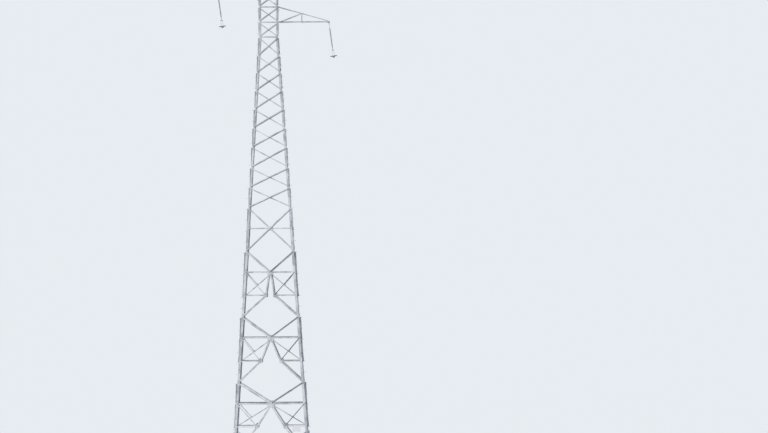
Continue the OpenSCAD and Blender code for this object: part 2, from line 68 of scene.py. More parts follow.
def shift(x: float, y: float, z: float) -> Matrix:
    """A move in a straight line."""
    return Matrix.Translation((x, y, z))


def spin(angle: float, axis: str = "Z") -> Matrix:
    """A turn about an axis, by an angle in radians."""
    return Matrix.Rotation(angle, 4, axis)


def circle(sides: int) -> list[Point]:
    """Corners of a regular polygon round the origin, one metre out."""
    angles = (2 * math.pi * i / sides for i in range(sides))
    return [(math.cos(a), math.sin(a)) for a in angles]


def crossing(p: Vector, q: Vector, r: Vector, s: Vector) -> Vector:
    """Where the line from p to q meets the line from r to s.

    Args:
        p: Start of the first line.
        q: End of the first line.
        r: Start of the second line.
        s: End of the second line.

    Returns:
        The point that both lines share.
    """
    d, e, f = q - p, s - r, r - p
    return p + d * ((f.x * e.y - f.y * e.x) / (d.x * e.y - d.y * e.x))


def along(p: Vector, q: Vector, *distances: float) -> list[Vector]:
    """Points on the way from p to q, at the given distances from p."""
    step = (q - p).normalized()
    return [p + step * d for d in distances]


OVER = spin(math.pi, "X")
UPRIGHT = spin(math.pi / 2, "X")


# Plan of the tower, in metres


@dataclass(frozen=True)
class CrankedPanel:
    """One cranked K panel: heights of its leg node, centre node and knee, and where bars start."""

    leg: float
    centre: float
    knee: float
    knee_x: float
    steep_x: float
    steep_drop: float
    light_drop: float


@dataclass(frozen=True)
class TowerPlan:
    """Driving sizes of the pylon's solids, with the places that follow from them."""

    base_width: float = 5.45
    head_width: float = 1.28
    waist: float = 30.09
    head_panel: float = 1.07
    head_panels: int = 8
    waist_bar_rise: float = 0.034
    top_bar_drop: float = 0.03
    leg_flange: float = 0.16
    upper_leg_flange: float = 0.13
    leg_thickness: float = 0.014
    head_leg_thickness: float = 0.010
    main_flange: float = 0.1
    main_thickness: float = 0.009
    light_thickness: float = 0.006
    body_thickness: float = 0.007
    head_thickness: float = 0.006
    gauge: float = 0.075
    upper_gauge: float = 0.0625
    head_gauge: float = 0.055
    node_offset: float = 0.095
    cranked_offset: float = 0.05
    head_node_offset: float = 0.110
    footing_height: float = 0.55
    base_plate: float = 0.36
    base_plate_thickness: float = 0.025
    foot_height: float = 0.76
    tall_node: float = 18.14
    splice_thickness: float = 0.010
    splices: tuple[float, ...] = (8.22, 16.95, 24.4)
    x_nodes: tuple[float, ...] = (
        18.14, 19.57, 20.96, 22.39, 23.74, 25.06, 26.36, 27.62, 28.81, 30.09)
    panels: tuple[CrankedPanel, ...] = (
        CrankedPanel(5.94, 4.46, 2.86, 0.96, 0.035, 0.13, 0.16),
        CrankedPanel(10.53, 9.068, 7.43, 0.685, 0.04, 0.11, 0.15),
        CrankedPanel(15.095, 13.64, 12.015, 0.3, 0.066, 0.06, 0.12))

    @property
    def lean(self) -> float:
        """Angle of the legs' faces from upright, in radians."""
        return math.atan((self.base_width - self.head_width) / 2 / self.waist)

    @property
    def head_half(self) -> float:
        """Half of the head's width over the heels."""
        return self.head_width / 2

    @property
    def head_top(self) -> float:
        """Height of the flat top."""
        return self.waist + self.head_panels * self.head_panel

    @property
    def arm_levels(self) -> list[float]:
        """Heights where the arms' chords meet the head."""
        return [self.waist + i * self.head_panel for i in range(1, 7)]

    @property
    def head_levels(self) -> list[float]:
        """Heights of the horizontals in the head."""
        top = self.head_top - self.top_bar_drop
        return [self.waist + self.waist_bar_rise, *self.arm_levels, top]

    @property
    def axis(self) -> Vector:
        """The upright axis at ground level, found from the head's solids."""
        return underside("head_legs")

    def half(self, z: float) -> float:
        """Half of the tapered body's width over the heels, at a height above ground."""
        return (self.base_width + (self.head_width - self.base_width) * z / self.waist) / 2

    def face(self, index: int, half: float, lean: float = 0.0) -> Matrix:
        """Frame of one face: x across it, v up it and n outward.

        Args:
            index: Place of the face in FACES.
            half: Distance of its foot from the axis.
            lean: Its angle from upright, in radians.

        Returns:
            The way from the face's frame to the pylon's.
        """
        corner = Matrix.Translation(self.axis) @ spin(math.radians(90 * index))
        return corner @ shift(0, -half, 0) @ spin(math.pi / 2 - lean, "X")


def underside(node: str) -> Vector:
    """Middle of a solid, seen from above, at ground level."""
    low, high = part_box(node)
    return Vector(((low.x + high.x) / 2, (low.y + high.y) / 2, 0.0))


@dataclass(frozen=True)
class BodyFace:
    """One tapered face, whose points are given by x across it and v up its slope."""

    plan: TowerPlan
    index: int

    @property
    def matrix(self) -> Matrix:
        """From the face's frame to the pylon's."""
        return self.plan.face(self.index, self.plan.base_width / 2, self.plan.lean)

    def point(self, x: float, z: float) -> Vector:
        """The point of the face at x from its middle and at the true height z."""
        return Vector((x, z / math.cos(self.plan.lean)))

    def leg(self, side: int, z: float, inset: float) -> Vector:
        """A point on one of the face's legs.

        Args:
            side: -1 for the left leg and 1 for the right one.
            z: True height.
            inset: Distance in from the heel.

        Returns:
            The point in the face's own x and v.
        """
        return self.point(side * (self.plan.half(z) - inset), z)


# Meshes


@dataclass
class Shape:
    """A growing mesh made of rings, each joined to its neighbours, with caps on the end ones."""

    vertices: list[Vector] = field(default_factory=list)
    faces: list[tuple[int, ...]] = field(default_factory=list)

    def ring(self, points: Iterable[Sequence[float]]) -> list[int]:
        """Adds one ring of points.

        Args:
            points: The ring's corners in order.

        Returns:
            Their numbers in the mesh.
        """
        start = len(self.vertices)
        self.vertices.extend(Vector(p) for p in points)
        return list(range(start, len(self.vertices)))

    def skin(self, rings: Sequence[Sequence[int]], closed: bool = False, caps: bool = True) -> None:
        """Joins rings of equal length.

        Args:
            rings: The rings' numbers, from one end to the other.
            closed: Whether the last ring is joined to the first.
            caps: Whether both ends get a face.
        """
        pairs = list(zip(rings, rings[1:]))
        if closed:
            pairs.append((rings[-1], rings[0]))
        for a, b in pairs:
            n = len(a)
            self.faces.extend((a[i], a[(i + 1) % n], b[(i + 1) % n], b[i]) for i in range(n))
        if caps and not closed:
            self.faces += [tuple(reversed(rings[0])), tuple(rings[-1])]

    def turned(self, profile: Sequence[Point], sides: int, flats: bool = False) -> None:
        """Adds a body turned about the z axis.

        Args:
            profile: Radius and height of each ring, from the lowest up.
            sides: Number of sides.
            flats: Whether the radii are measured to the flats, as on a hexagon.
        """
        grow = 1 / math.cos(math.pi / sides) if flats else 1.0
        self.skin([self.ring((radius * grow * c, radius * grow * s, height)
                             for c, s in circle(sides)) for radius, height in profile])

    def block(self, low: Sequence[float], high: Sequence[float], bevel: float) -> None:
        """Adds a block with its four upper edges bevelled.

        Args:
            low: Lowest corner.
            high: Highest corner.
            bevel: Width of the bevel.
        """
        (x0, y0, z0), (x1, y1, z1) = low, high
        levels = ((0.0, z0), (0.0, z1 - bevel), (bevel, z1))
        self.skin([self.ring([(x0 + b, y0 + b, z), (x1 - b, y0 + b, z), (x1 - b, y1 - b, z),
                              (x0 + b, y1 - b, z)]) for b, z in levels])

    def tube(self, path: Sequence[Vector], radius: float, sides: int,
             closed: bool = False) -> None:
        """Adds a round rod along a path.

        Args:
            path: Points of its middle line.
            radius: Radius of the rod.
            sides: Number of sides.
            closed: Whether the rod ends where it starts.
        """
        rings = []
        across = None
        for i, p in enumerate(path):
            before = path[i - 1] if i or closed else p
            after = path[(i + 1) % len(path)] if i + 1 < len(path) or closed else p
            way = (after - before).normalized()
            if across is None:
                across = way.orthogonal().normalized()
            across = (across - way * across.dot(way)).normalized()
            up = way.cross(across)
            rings.append(self.ring(p + (across * c + up * s) * radius for c, s in circle(sides)))
        self.skin(rings, closed=closed)

    def add(self, other: "Shape", matrix: Matrix) -> None:
        """Adds a copy of another shape.

        Args:
            other: The shape to copy.
            matrix: Where the copy goes. A mirrored place turns its faces round.
        """
        start = len(self.vertices)
        self.vertices.extend(matrix @ v for v in other.vertices)
        step = -1 if matrix.determinant() < 0 else 1
        self.faces.extend(tuple(start + i for i in face[::step]) for face in other.faces)

    def mesh(self, name: str) -> bpy.types.Mesh:
        """Makes Blender's mesh of the shape.

        Args:
            name: Name of the mesh.

        Returns:
            The mesh.
        """
        mesh = bpy.data.meshes.new(name)
        mesh.from_pydata(self.vertices, [], self.faces)
        mesh.update()
        return mesh

    def piece(self, name: str, finish: "Finish", smooth: float = 0.0, body: str = "pylon") -> Piece:
        """Makes the mesh an object that rides on a body.

        Args:
            name: Name of the piece.
            finish: Its finish.
            smooth: Edges flatter than this many degrees are shaded smooth.
            body: Body that it rides on.

        Returns:
            The new object.
        """
        mesh = self.mesh(name)
        if smooth:
            mesh.shade_smooth()
            mesh.set_sharp_from_angle(angle=math.radians(smooth))
        obj = shown(bpy.data.objects.new(name, mesh))
        obj.data.materials.append(finish.material())
        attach(obj, body)
        triangles = sum(len(face) - 2 for face in self.faces)
        LOG.info("%s: %d triangles on %s", name, triangles, body)
        return obj


def shown(obj: bpy.types.Object) -> bpy.types.Object:
    """Puts an object into the scene."""
    bpy.context.scene.collection.objects.link(obj)
    return obj


# Effects that finishes share


class Graph:
    """Shorthand for building one node tree."""

    def __init__(self, tree: bpy.types.NodeTree) -> None:
        """Empties the tree to build in."""
        self.tree = tree
        self.tree.nodes.clear()

    def node(self, kind: str, inputs: dict | None = None, **settings: object) -> bpy.types.Node:
        """Adds a node.

        Args:
            kind: Type of the node, without the word ShaderNode before it.
            inputs: A value or an output socket for each input that is set.
            **settings: Properties of the node.

        Returns:
            The node.
        """
        made = self.tree.nodes.new("ShaderNode" + kind)
        for key, value in settings.items():
            setattr(made, key, value)
        for key, value in (inputs or {}).items():
            if isinstance(value, Socket):
                self.tree.links.new(value, made.inputs[key])
            else:
                made.inputs[key].default_value = value
        return made

    def place(self, stretch: Sequence[float] = (1.0, 1.0, 1.0)) -> Socket:
        """The object's own coordinates, in metres, times a factor along each axis."""
        source = self.node("TexCoord").outputs["Object"]
        return self.node("Mapping", {"Vector": source, "Scale": stretch}).outputs["Vector"]

    def maths(self, operation: str, a: Socket | float, b: Socket | float,
              clamp: bool = True) -> Socket:
        """Adds a sum on two values.

        Args:
            operation: Name of the operation.
            a: First value.
            b: Second value.
            clamp: Whether the result is held between 0 and 1.

        Returns:
            The result.
        """
        return self.node("Math", {0: a, 1: b}, operation=operation, use_clamp=clamp).outputs[0]

    def product(self, first: Socket, *others: Socket | float) -> Socket:
        """Multiplies values.

        Args:
            first: The first one.
            *others: The others.

        Returns:
            Their product, held between 0 and 1.
        """
        for other in others:
            first = self.maths("MULTIPLY", first, other)
        return first

    def noise(self, scale: Socket | float, detail: float = 3.0, rough: float = 0.55,
              stretch: Sequence[float] = (1.0, 1.0, 1.0)) -> Socket:
        """Adds a noise texture.

        Args:
            scale: Waves in a metre.
            detail: Number of finer layers.
            rough: Weight of the finer layers.
            stretch: Factor on the coordinates along each axis.

        Returns:
            Its value, about 0.5 on average.
        """
        return self.node("TexNoise", {"Vector": self.place(stretch), "Scale": scale,
                                      "Detail": detail, "Roughness": rough}).outputs["Fac"]

    def ramp(self, value: Socket, low: float, high: float, to_low: float = 0.0,
             to_high: float = 1.0, curve: str = "SMOOTHSTEP") -> Socket:
        """Maps a stretch of values on another one.

        Args:
            value: The value to map.
            low: Start of its stretch.
            high: End of its stretch.
            to_low: Result at the start.
            to_high: Result at the end.
            curve: Blender's name for the way from one to the other.

        Returns:
            The mapped value.
        """
        return self.node("MapRange", {"Value": value, "From Min": low, "From Max": high,
                                      "To Min": to_low, "To Max": to_high},
                         interpolation_type=curve).outputs["Result"]

    def mix(self, factor: Socket, a: Socket | Colour, b: Socket | Colour) -> Socket:
        """Mixes two colours.

        Args:
            factor: Share of the second colour.
            a: First colour.
            b: Second colour.

        Returns:
            The mixed colour.
        """
        colours = {i: c if isinstance(c, Socket) else (*c, 1.0) for i, c in ((6, a), (7, b))}
        return self.node("Mix", {0: factor, **colours}, data_type="RGBA").outputs[2]


class Effect:
    """An effect that several finishes share, as a node group that is built once."""

    name: str = ""
    inputs: tuple[str, ...] = ()
    output: str = "Mask"
    kind: str = "NodeSocketFloat"

    def build(self, graph: Graph, *values: Socket) -> Socket:
        """Builds the effect's nodes from the group's inputs and gives the socket to put out."""
        raise NotImplementedError

    def group(self) -> bpy.types.NodeTree:
        """The node group, made on first use.

        Returns:
            The group.
        """
        found = bpy.data.node_groups.get(self.name)
        if found:
            return found
        tree = bpy.data.node_groups.new(self.name, "ShaderNodeTree")
        graph = Graph(tree)
        for name in self.inputs:
            tree.interface.new_socket(name, in_out="INPUT", socket_type="NodeSocketFloat")
        tree.interface.new_socket(self.output, in_out="OUTPUT", socket_type=self.kind)
        source = tree.nodes.new("NodeGroupInput")
        target = tree.nodes.new("NodeGroupOutput")
        made = self.build(graph, *(source.outputs[name] for name in self.inputs))
        tree.links.new(made, target.inputs[self.output])
        return tree

    def use(self, graph: Graph, **inputs: float) -> Socket:
        """Puts the effect into a finish.

        Args:
            graph: The finish's node tree.
            **inputs: A value for each input, by its name in small letters.

        Returns:
            What the effect puts out.
        """
        values = {name.capitalize(): value for name, value in inputs.items()}
        return graph.node("Group", values, node_tree=self.group()).outputs[0]


class Mottling(Effect):
    """Soft patches, a few to the metre, with finer ones in them."""

    name = "mottling"
    inputs = ("Scale",)

    def build(self, graph: Graph, scale: Socket) -> Socket:
        """Patches of the given scale."""
        return graph.ramp(graph.noise(scale, 5.0, 0.6), 0.3, 0.7)


class RainStreaks(Effect):
    """Marks of water that ran down, long in height and narrow across."""

    name = "rain_streaks"
    inputs = ("Scale", "Amount")
    stretch = (1.0, 1.0, 0.07)

    def build(self, graph: Graph, scale: Socket, amount: Socket) -> Socket:
        """Streaks of the given scale and amount, which come and go in patches.

        Args:
            graph: The group's node tree.
            scale: Streaks in a metre.
            amount: Strength of the marks.

        Returns:
            The streaks' mask.
        """
        streak = graph.ramp(graph.noise(scale, 3.0, 0.5, self.stretch), 0.5, 0.74)
        patch = graph.ramp(graph.noise(0.9), 0.35, 0.7)
        return graph.product(streak, patch, amount)


class UpwardDust(Effect):
    """Dust that settles on what faces up."""

    name = "upward_dust"
    inputs = ("Amount",)

    def build(self, graph: Graph, amount: Socket) -> Socket:
        """Uneven dust, more of it the more a surface faces up.

        Args:
            graph: The group's node tree.
            amount: Thickness of the dust.

        Returns:
            The dust's mask.
        """
        normal = graph.node("NewGeometry").outputs["Normal"]
        up = graph.node("SeparateXYZ", {"Vector": normal}).outputs["Z"]
        patch = graph.ramp(graph.noise(25.0), 0.25, 0.7, 0.35, 1.0)
        return graph.product(graph.ramp(up, 0.15, 0.85), patch, amount)


class SoilSplash(Effect):
    """Earth thrown up by rain, strongest at the ground."""

    name = "soil_splash"
    inputs = ("Reach",)

    def build(self, graph: Graph, reach: Socket) -> Socket:
        """Earth with a ragged upper edge.

        Args:
            graph: The group's node tree.
            reach: Height that the earth fades out at.

        Returns:
            The earth's mask.
        """
        height = graph.node("SeparateXYZ", {"Vector": graph.place()}).outputs["Z"]
        low = graph.maths("DIVIDE", height, reach, clamp=False)
        ragged = graph.maths("SUBTRACT", graph.noise(9.0, 5.0), 0.5, clamp=False)
        edge = graph.maths("ADD", low, ragged, clamp=False)
        return graph.ramp(edge, 0.0, 1.0, 1.0, 0.0)


class GrainBump(Effect):
    """A fine uneven surface."""

    name = "grain_bump"
    inputs = ("Scale", "Strength", "Depth")
    output = "Normal"
    kind = "NodeSocketVector"

    def build(self, graph: Graph, scale: Socket, strength: Socket, depth: Socket) -> Socket:
        """Bumps of the given scale, strength and depth."""
        return graph.node("Bump", {"Height": graph.noise(scale, 4.0, 0.6), "Strength": strength,
                                   "Distance": depth}).outputs["Normal"]


# Finishes


@dataclass(frozen=True)
class Finish:
    """A surface finish, made into one material on first use."""

    name: str
    slot: str

    def build(self, graph: Graph) -> Inputs:
        """Builds the finish's nodes and gives what goes to the Principled shader's inputs."""
        raise NotImplementedError

    def material(self) -> bpy.types.Material:
        """The material, made on first use.

        Returns:
            The material.
        """
        found = bpy.data.materials.get(self.name)
        if found:
            return found
        made = bpy.data.materials.new(self.name)
        made.use_nodes = True
        graph = Graph(made.node_tree)
        shader = graph.node("BsdfPrincipled", self.build(graph))
        graph.node("OutputMaterial", {"Surface": shader.outputs[0]})
        return made


@dataclass(frozen=True)
class GalvanisedSteel(Finish):
    """Hot-dip zinc: spangle, soft patches, water marks, and a little rust where it is worn."""

    name: str = "galvanised_steel_finish"
    slot: str = "galvanised_steel"
    bright: Colour = (0.60, 0.625, 0.655)
    dull: Colour = (0.33, 0.355, 0.385)
    stain: Colour = (0.20, 0.20, 0.205)
    rust: Colour = (0.20, 0.115, 0.065)
    earth: Colour = (0.24, 0.20, 0.15)
    spangle: float = 55.0
    spangle_shade: float = 0.13
    rust_share: float = 0.35

    def build(self, graph: Graph) -> Inputs:
        """Zinc, then water marks, rust and earth over it.

        Args:
            graph: The material's node tree.

        Returns:
            What goes to the Principled shader's inputs.
        """
        cells = graph.node("TexVoronoi", {"Vector": graph.place(), "Scale": self.spangle})
        shade = graph.node("SeparateColor", {"Color": cells.outputs["Color"]}).outputs[0]
        flecks = graph.ramp(shade, 0.0, 1.0, -self.spangle_shade, self.spangle_shade, "LINEAR")
        share = graph.maths("ADD", Mottling().use(graph, scale=1.6), flecks)
        zinc = graph.mix(share, self.bright, self.dull)
        worn = graph.mix(RainStreaks().use(graph, scale=16.0, amount=0.55), zinc, self.stain)
        spots = graph.ramp(graph.noise(38.0, 6.0, 0.7), 0.63, 0.72)
        where = graph.ramp(graph.noise(1.3, 2.0), 0.5, 0.7, 0.0, self.rust_share)
        rusty = graph.mix(graph.product(spots, where), worn, self.rust)
        soil = graph.product(SoilSplash().use(graph, reach=1.1), 0.5)
        return {"Base Color": graph.mix(soil, rusty, self.earth), "Metallic": 0.3,
                "Roughness": graph.ramp(share, 0.0, 1.0, 0.47, 0.68),
                "Normal": GrainBump().use(graph, scale=90.0, strength=0.18, depth=0.0015)}


@dataclass(frozen=True)
class PaintedConcrete(Finish):
    """White paint on cast concrete, chipped to the grey, with earth on its foot."""

    name: str = "painted_concrete_finish"
    slot: str = "painted_concrete"
    paint: Colour = (0.80, 0.80, 0.77)
    old_paint: Colour = (0.62, 0.61, 0.57)
    stain: Colour = (0.36, 0.35, 0.32)
    grey: Colour = (0.40, 0.39, 0.36)
    earth: Colour = (0.22, 0.17, 0.11)

    def build(self, graph: Graph) -> Inputs:
        """Paint, then water marks, chips and earth over it.

        Args:
            graph: The material's node tree.

        Returns:
            What goes to the Principled shader's inputs.
        """
        patches = graph.product(Mottling().use(graph, scale=5.0), 0.35)
        paint = graph.mix(patches, self.paint, self.old_paint)
        stained = graph.mix(RainStreaks().use(graph, scale=22.0, amount=0.5), paint, self.stain)
        chips = graph.product(graph.ramp(graph.noise(17.0, 8.0, 0.66), 0.62, 0.645), 0.85)
        chipped = graph.mix(chips, stained, self.grey)
        soil = graph.product(SoilSplash().use(graph, reach=0.3), 0.8)
        return {"Base Color": graph.mix(soil, chipped, self.earth),
                "Roughness": graph.ramp(graph.noise(60.0), 0.3, 0.7, 0.7, 0.92),
                "Normal": GrainBump().use(graph, scale=70.0, strength=0.5, depth=0.003)}


@dataclass(frozen=True)
class SiliconeRubber(Finish):
    """Blue-grey silicone with a dusty upper side."""

    name: str = "silicone_rubber_finish"
    slot: str = "silicone_rubber"
    rubber: Colour = (0.135, 0.175, 0.235)
    faded: Colour = (0.19, 0.235, 0.30)
    dust: Colour = (0.42, 0.41, 0.38)
    dust_amount: float = 0.45

    def build(self, graph: Graph) -> Inputs:
        """Silicone in two blues, then dust over it.

        Args:
            graph: The material's node tree.

        Returns:
            What goes to the Principled shader's inputs.
        """
        patches = graph.product(Mottling().use(graph, scale=9.0), 0.5)
        dusty = UpwardDust().use(graph, amount=self.dust_amount)
        rubber = graph.mix(patches, self.rubber, self.faded)
        return {"Base Color": graph.mix(dusty, rubber, self.dust), "IOR": 1.41,
                "Roughness": graph.ramp(dusty, 0.0, self.dust_amount, 0.42, 0.8),
                "Normal": GrainBump().use(graph, scale=320.0, strength=0.12, depth=0.0005)}


@dataclass(frozen=True)
class PaintedShadeAlloy(Finish):
    """Aluminium, cast or drawn, given near-black tones as painted shade in place of its own light
    grey, with dust on what faces up.
    """

    name: str = "clamp_alloy_painted_shade_finish"
    slot: str = "clamp_alloy"
    # Painted shade: these near-black tones stand in for shade on light grey aluminium.
    painted_shade_metal: Colour = (0.034, 0.039, 0.047)
    pale: Colour = (0.085, 0.092, 0.10)
    dust: Colour = (0.27, 0.26, 0.24)
    grain: float = 260.0
    relief: float = 0.35

    def build(self, graph: Graph) -> Inputs:
        """Painted shade: alloy in two near-black greys, then dust over it.

        Args:
            graph: The material's node tree.

        Returns:
            What goes to the Principled shader's inputs.
        """
        patches = Mottling().use(graph, scale=12.0)
        painted_shade_metal = graph.mix(patches, self.painted_shade_metal, self.pale)
        bump = GrainBump().use(graph, scale=self.grain, strength=self.relief, depth=0.0008)
        return {"Base Color": graph.mix(UpwardDust().use(graph, amount=0.3), painted_shade_metal, self.dust),
                "Roughness": graph.ramp(patches, 0.0, 1.0, 0.36, 0.58), "Metallic": 0.35,
                "Normal": bump}


@dataclass(frozen=True)
class Enamel(Finish):
    """White enamel on a bare plate, faintly marked by rain."""

    name: str = "white_enamel_finish"
    slot: str = "white_enamel"
    white: Colour = (0.66, 0.67, 0.69)
    faded: Colour = (0.55, 0.56, 0.56)
    stain: Colour = (0.45, 0.40, 0.34)

    def build(self, graph: Graph) -> Inputs:
        """Enamel in two whites, then water marks over it.

        Args:
            graph: The material's node tree.

        Returns:
            What goes to the Principled shader's inputs.
        """
        patches = Mottling().use(graph, scale=6.0)
        white = graph.mix(graph.product(patches, 0.25), self.white, self.faded)
        marks = RainStreaks().use(graph, scale=30.0, amount=0.35)
        return {"Base Color": graph.mix(marks, white, self.stain), "Coat Weight": 0.3,
                "Roughness": graph.ramp(patches, 0.0, 1.0, 0.18, 0.34),
                "Normal": GrainBump().use(graph, scale=45.0, strength=0.06, depth=0.001)}


@dataclass(frozen=True)
class StudioFloor(Finish):
    """Plain pale floor that fades out far from the pylon."""

    name: str = "studio_floor_finish"
    slot: str = ""
    tone: Colour = (0.88, 0.90, 0.93)
    solid_to: float = 40.0
    gone_at: float = 92.0

    def build(self, graph: Graph) -> Inputs:
        """One tone, seen less and less beyond the solid part."""
        far = graph.node("VectorMath", {0: graph.place()}, operation="LENGTH").outputs["Value"]
        return {"Base Color": (*self.tone, 1.0), "Roughness": 0.9,
                "Alpha": graph.ramp(far, self.solid_to, self.gone_at, 1.0, 0.0)}


STEEL = GalvanisedSteel()
FIXING_STEEL = GalvanisedSteel(name="fixing_zinc_finish", bright=(0.50, 0.52, 0.55),
                               dull=(0.32, 0.335, 0.36), spangle=240.0, rust_share=0.7)
CONCRETE = PaintedConcrete()
RUBBER = SiliconeRubber()
# Painted shade: clamp and ring get near-black alloy tones that stand in for shade.
CLAMP_ALLOY = PaintedShadeAlloy()
RING_ALLOY = PaintedShadeAlloy(name="ring_alloy_painted_shade_finish", slot="ring_alloy", painted_shade_metal=(0.030, 0.034, 0.042),
                       pale=(0.07, 0.076, 0.085), grain=90.0, relief=0.12)
ENAMEL = Enamel()


# Bolts


class BoltSize(Enum):
    """Hexagon bolts: thread diameter, width over flats and head height in metres."""

    M12 = (0.012, 0.018, 0.0075)
    M16 = (0.016, 0.024, 0.0100)
    M20 = (0.020, 0.030, 0.0125)
    M24 = (0.024, 0.036, 0.0150)

    def end(self, nut: bool = False) -> Shape:
        """A hexagon head on its washer, or a nut with the thread's end, up z from the steel.

        Args:
            nut: Whether it is the nut's end.

        Returns:
            The shape.
        """
        thread, flats, head = self.value
        rim, half, washer = flats * 0.62, flats / 2, thread * 0.15
        top = washer + head
        shape = Shape()
        shape.turned([(rim, -0.0004), (rim, washer)], 12)
        shape.turned([(half, washer - 0.0003), (half, top - head * 0.18), (half * 0.86, top)], 6,
                     flats=True)
        if nut:
            radius = thread / 2
            shape.turned([(radius, top - 0.001), (radius, top + thread * 0.35),
                          (radius * 0.8, top + thread * 0.45)], 8)
        return shape


class BoltSet:
    """The bolts of one part of the pylon, in one piece."""

    def __init__(self, name: str, seed: int) -> None:
        """Starts with no bolts.

        Args:
            name: Name of the piece.
            seed: Fixes how the bolts happen to be turned.
        """
        self.name = name
        self.shape = Shape()
        self.random = random.Random(seed)
        self.count = 0

    def add(self, matrix: Matrix, points: Iterable[Vector], outside: float, inside: float,
            size: BoltSize = BoltSize.M16) -> None:
        """Adds bolts through a stack of plates.

        Args:
            matrix: Frame of the plates, with z outward.
            points: Where the bolts go in that frame's x and y.
            outside: Height of the face under the heads.
            inside: Height of the face under the nuts.
            size: Size of the bolts.
        """
        ends = ((size.end(), outside, Matrix()), (size.end(nut=True), inside, OVER))
        for p in points:
            for part, height, flip in ends:
                turn = spin(self.random.uniform(0, math.pi / 3))
                self.shape.add(part, matrix @ shift(p.x, p.y, height) @ flip @ turn)
            self.count += 1

    def build(self) -> Piece:
        """Makes the piece."""
        LOG.info("%s: %d bolts", self.name, self.count)
        return self.shape.piece(self.name, FIXING_STEEL)


class Bar(Enum):
    """Bars of the body: the plan's name for their thickness, and the bolts that hold them."""

    MAIN = ("main_thickness", BoltSize.M20)
    LIGHT = ("light_thickness", BoltSize.M16)
    TALL = ("body_thickness", BoltSize.M20)
    TALL_LEVEL = ("body_thickness", BoltSize.M16)


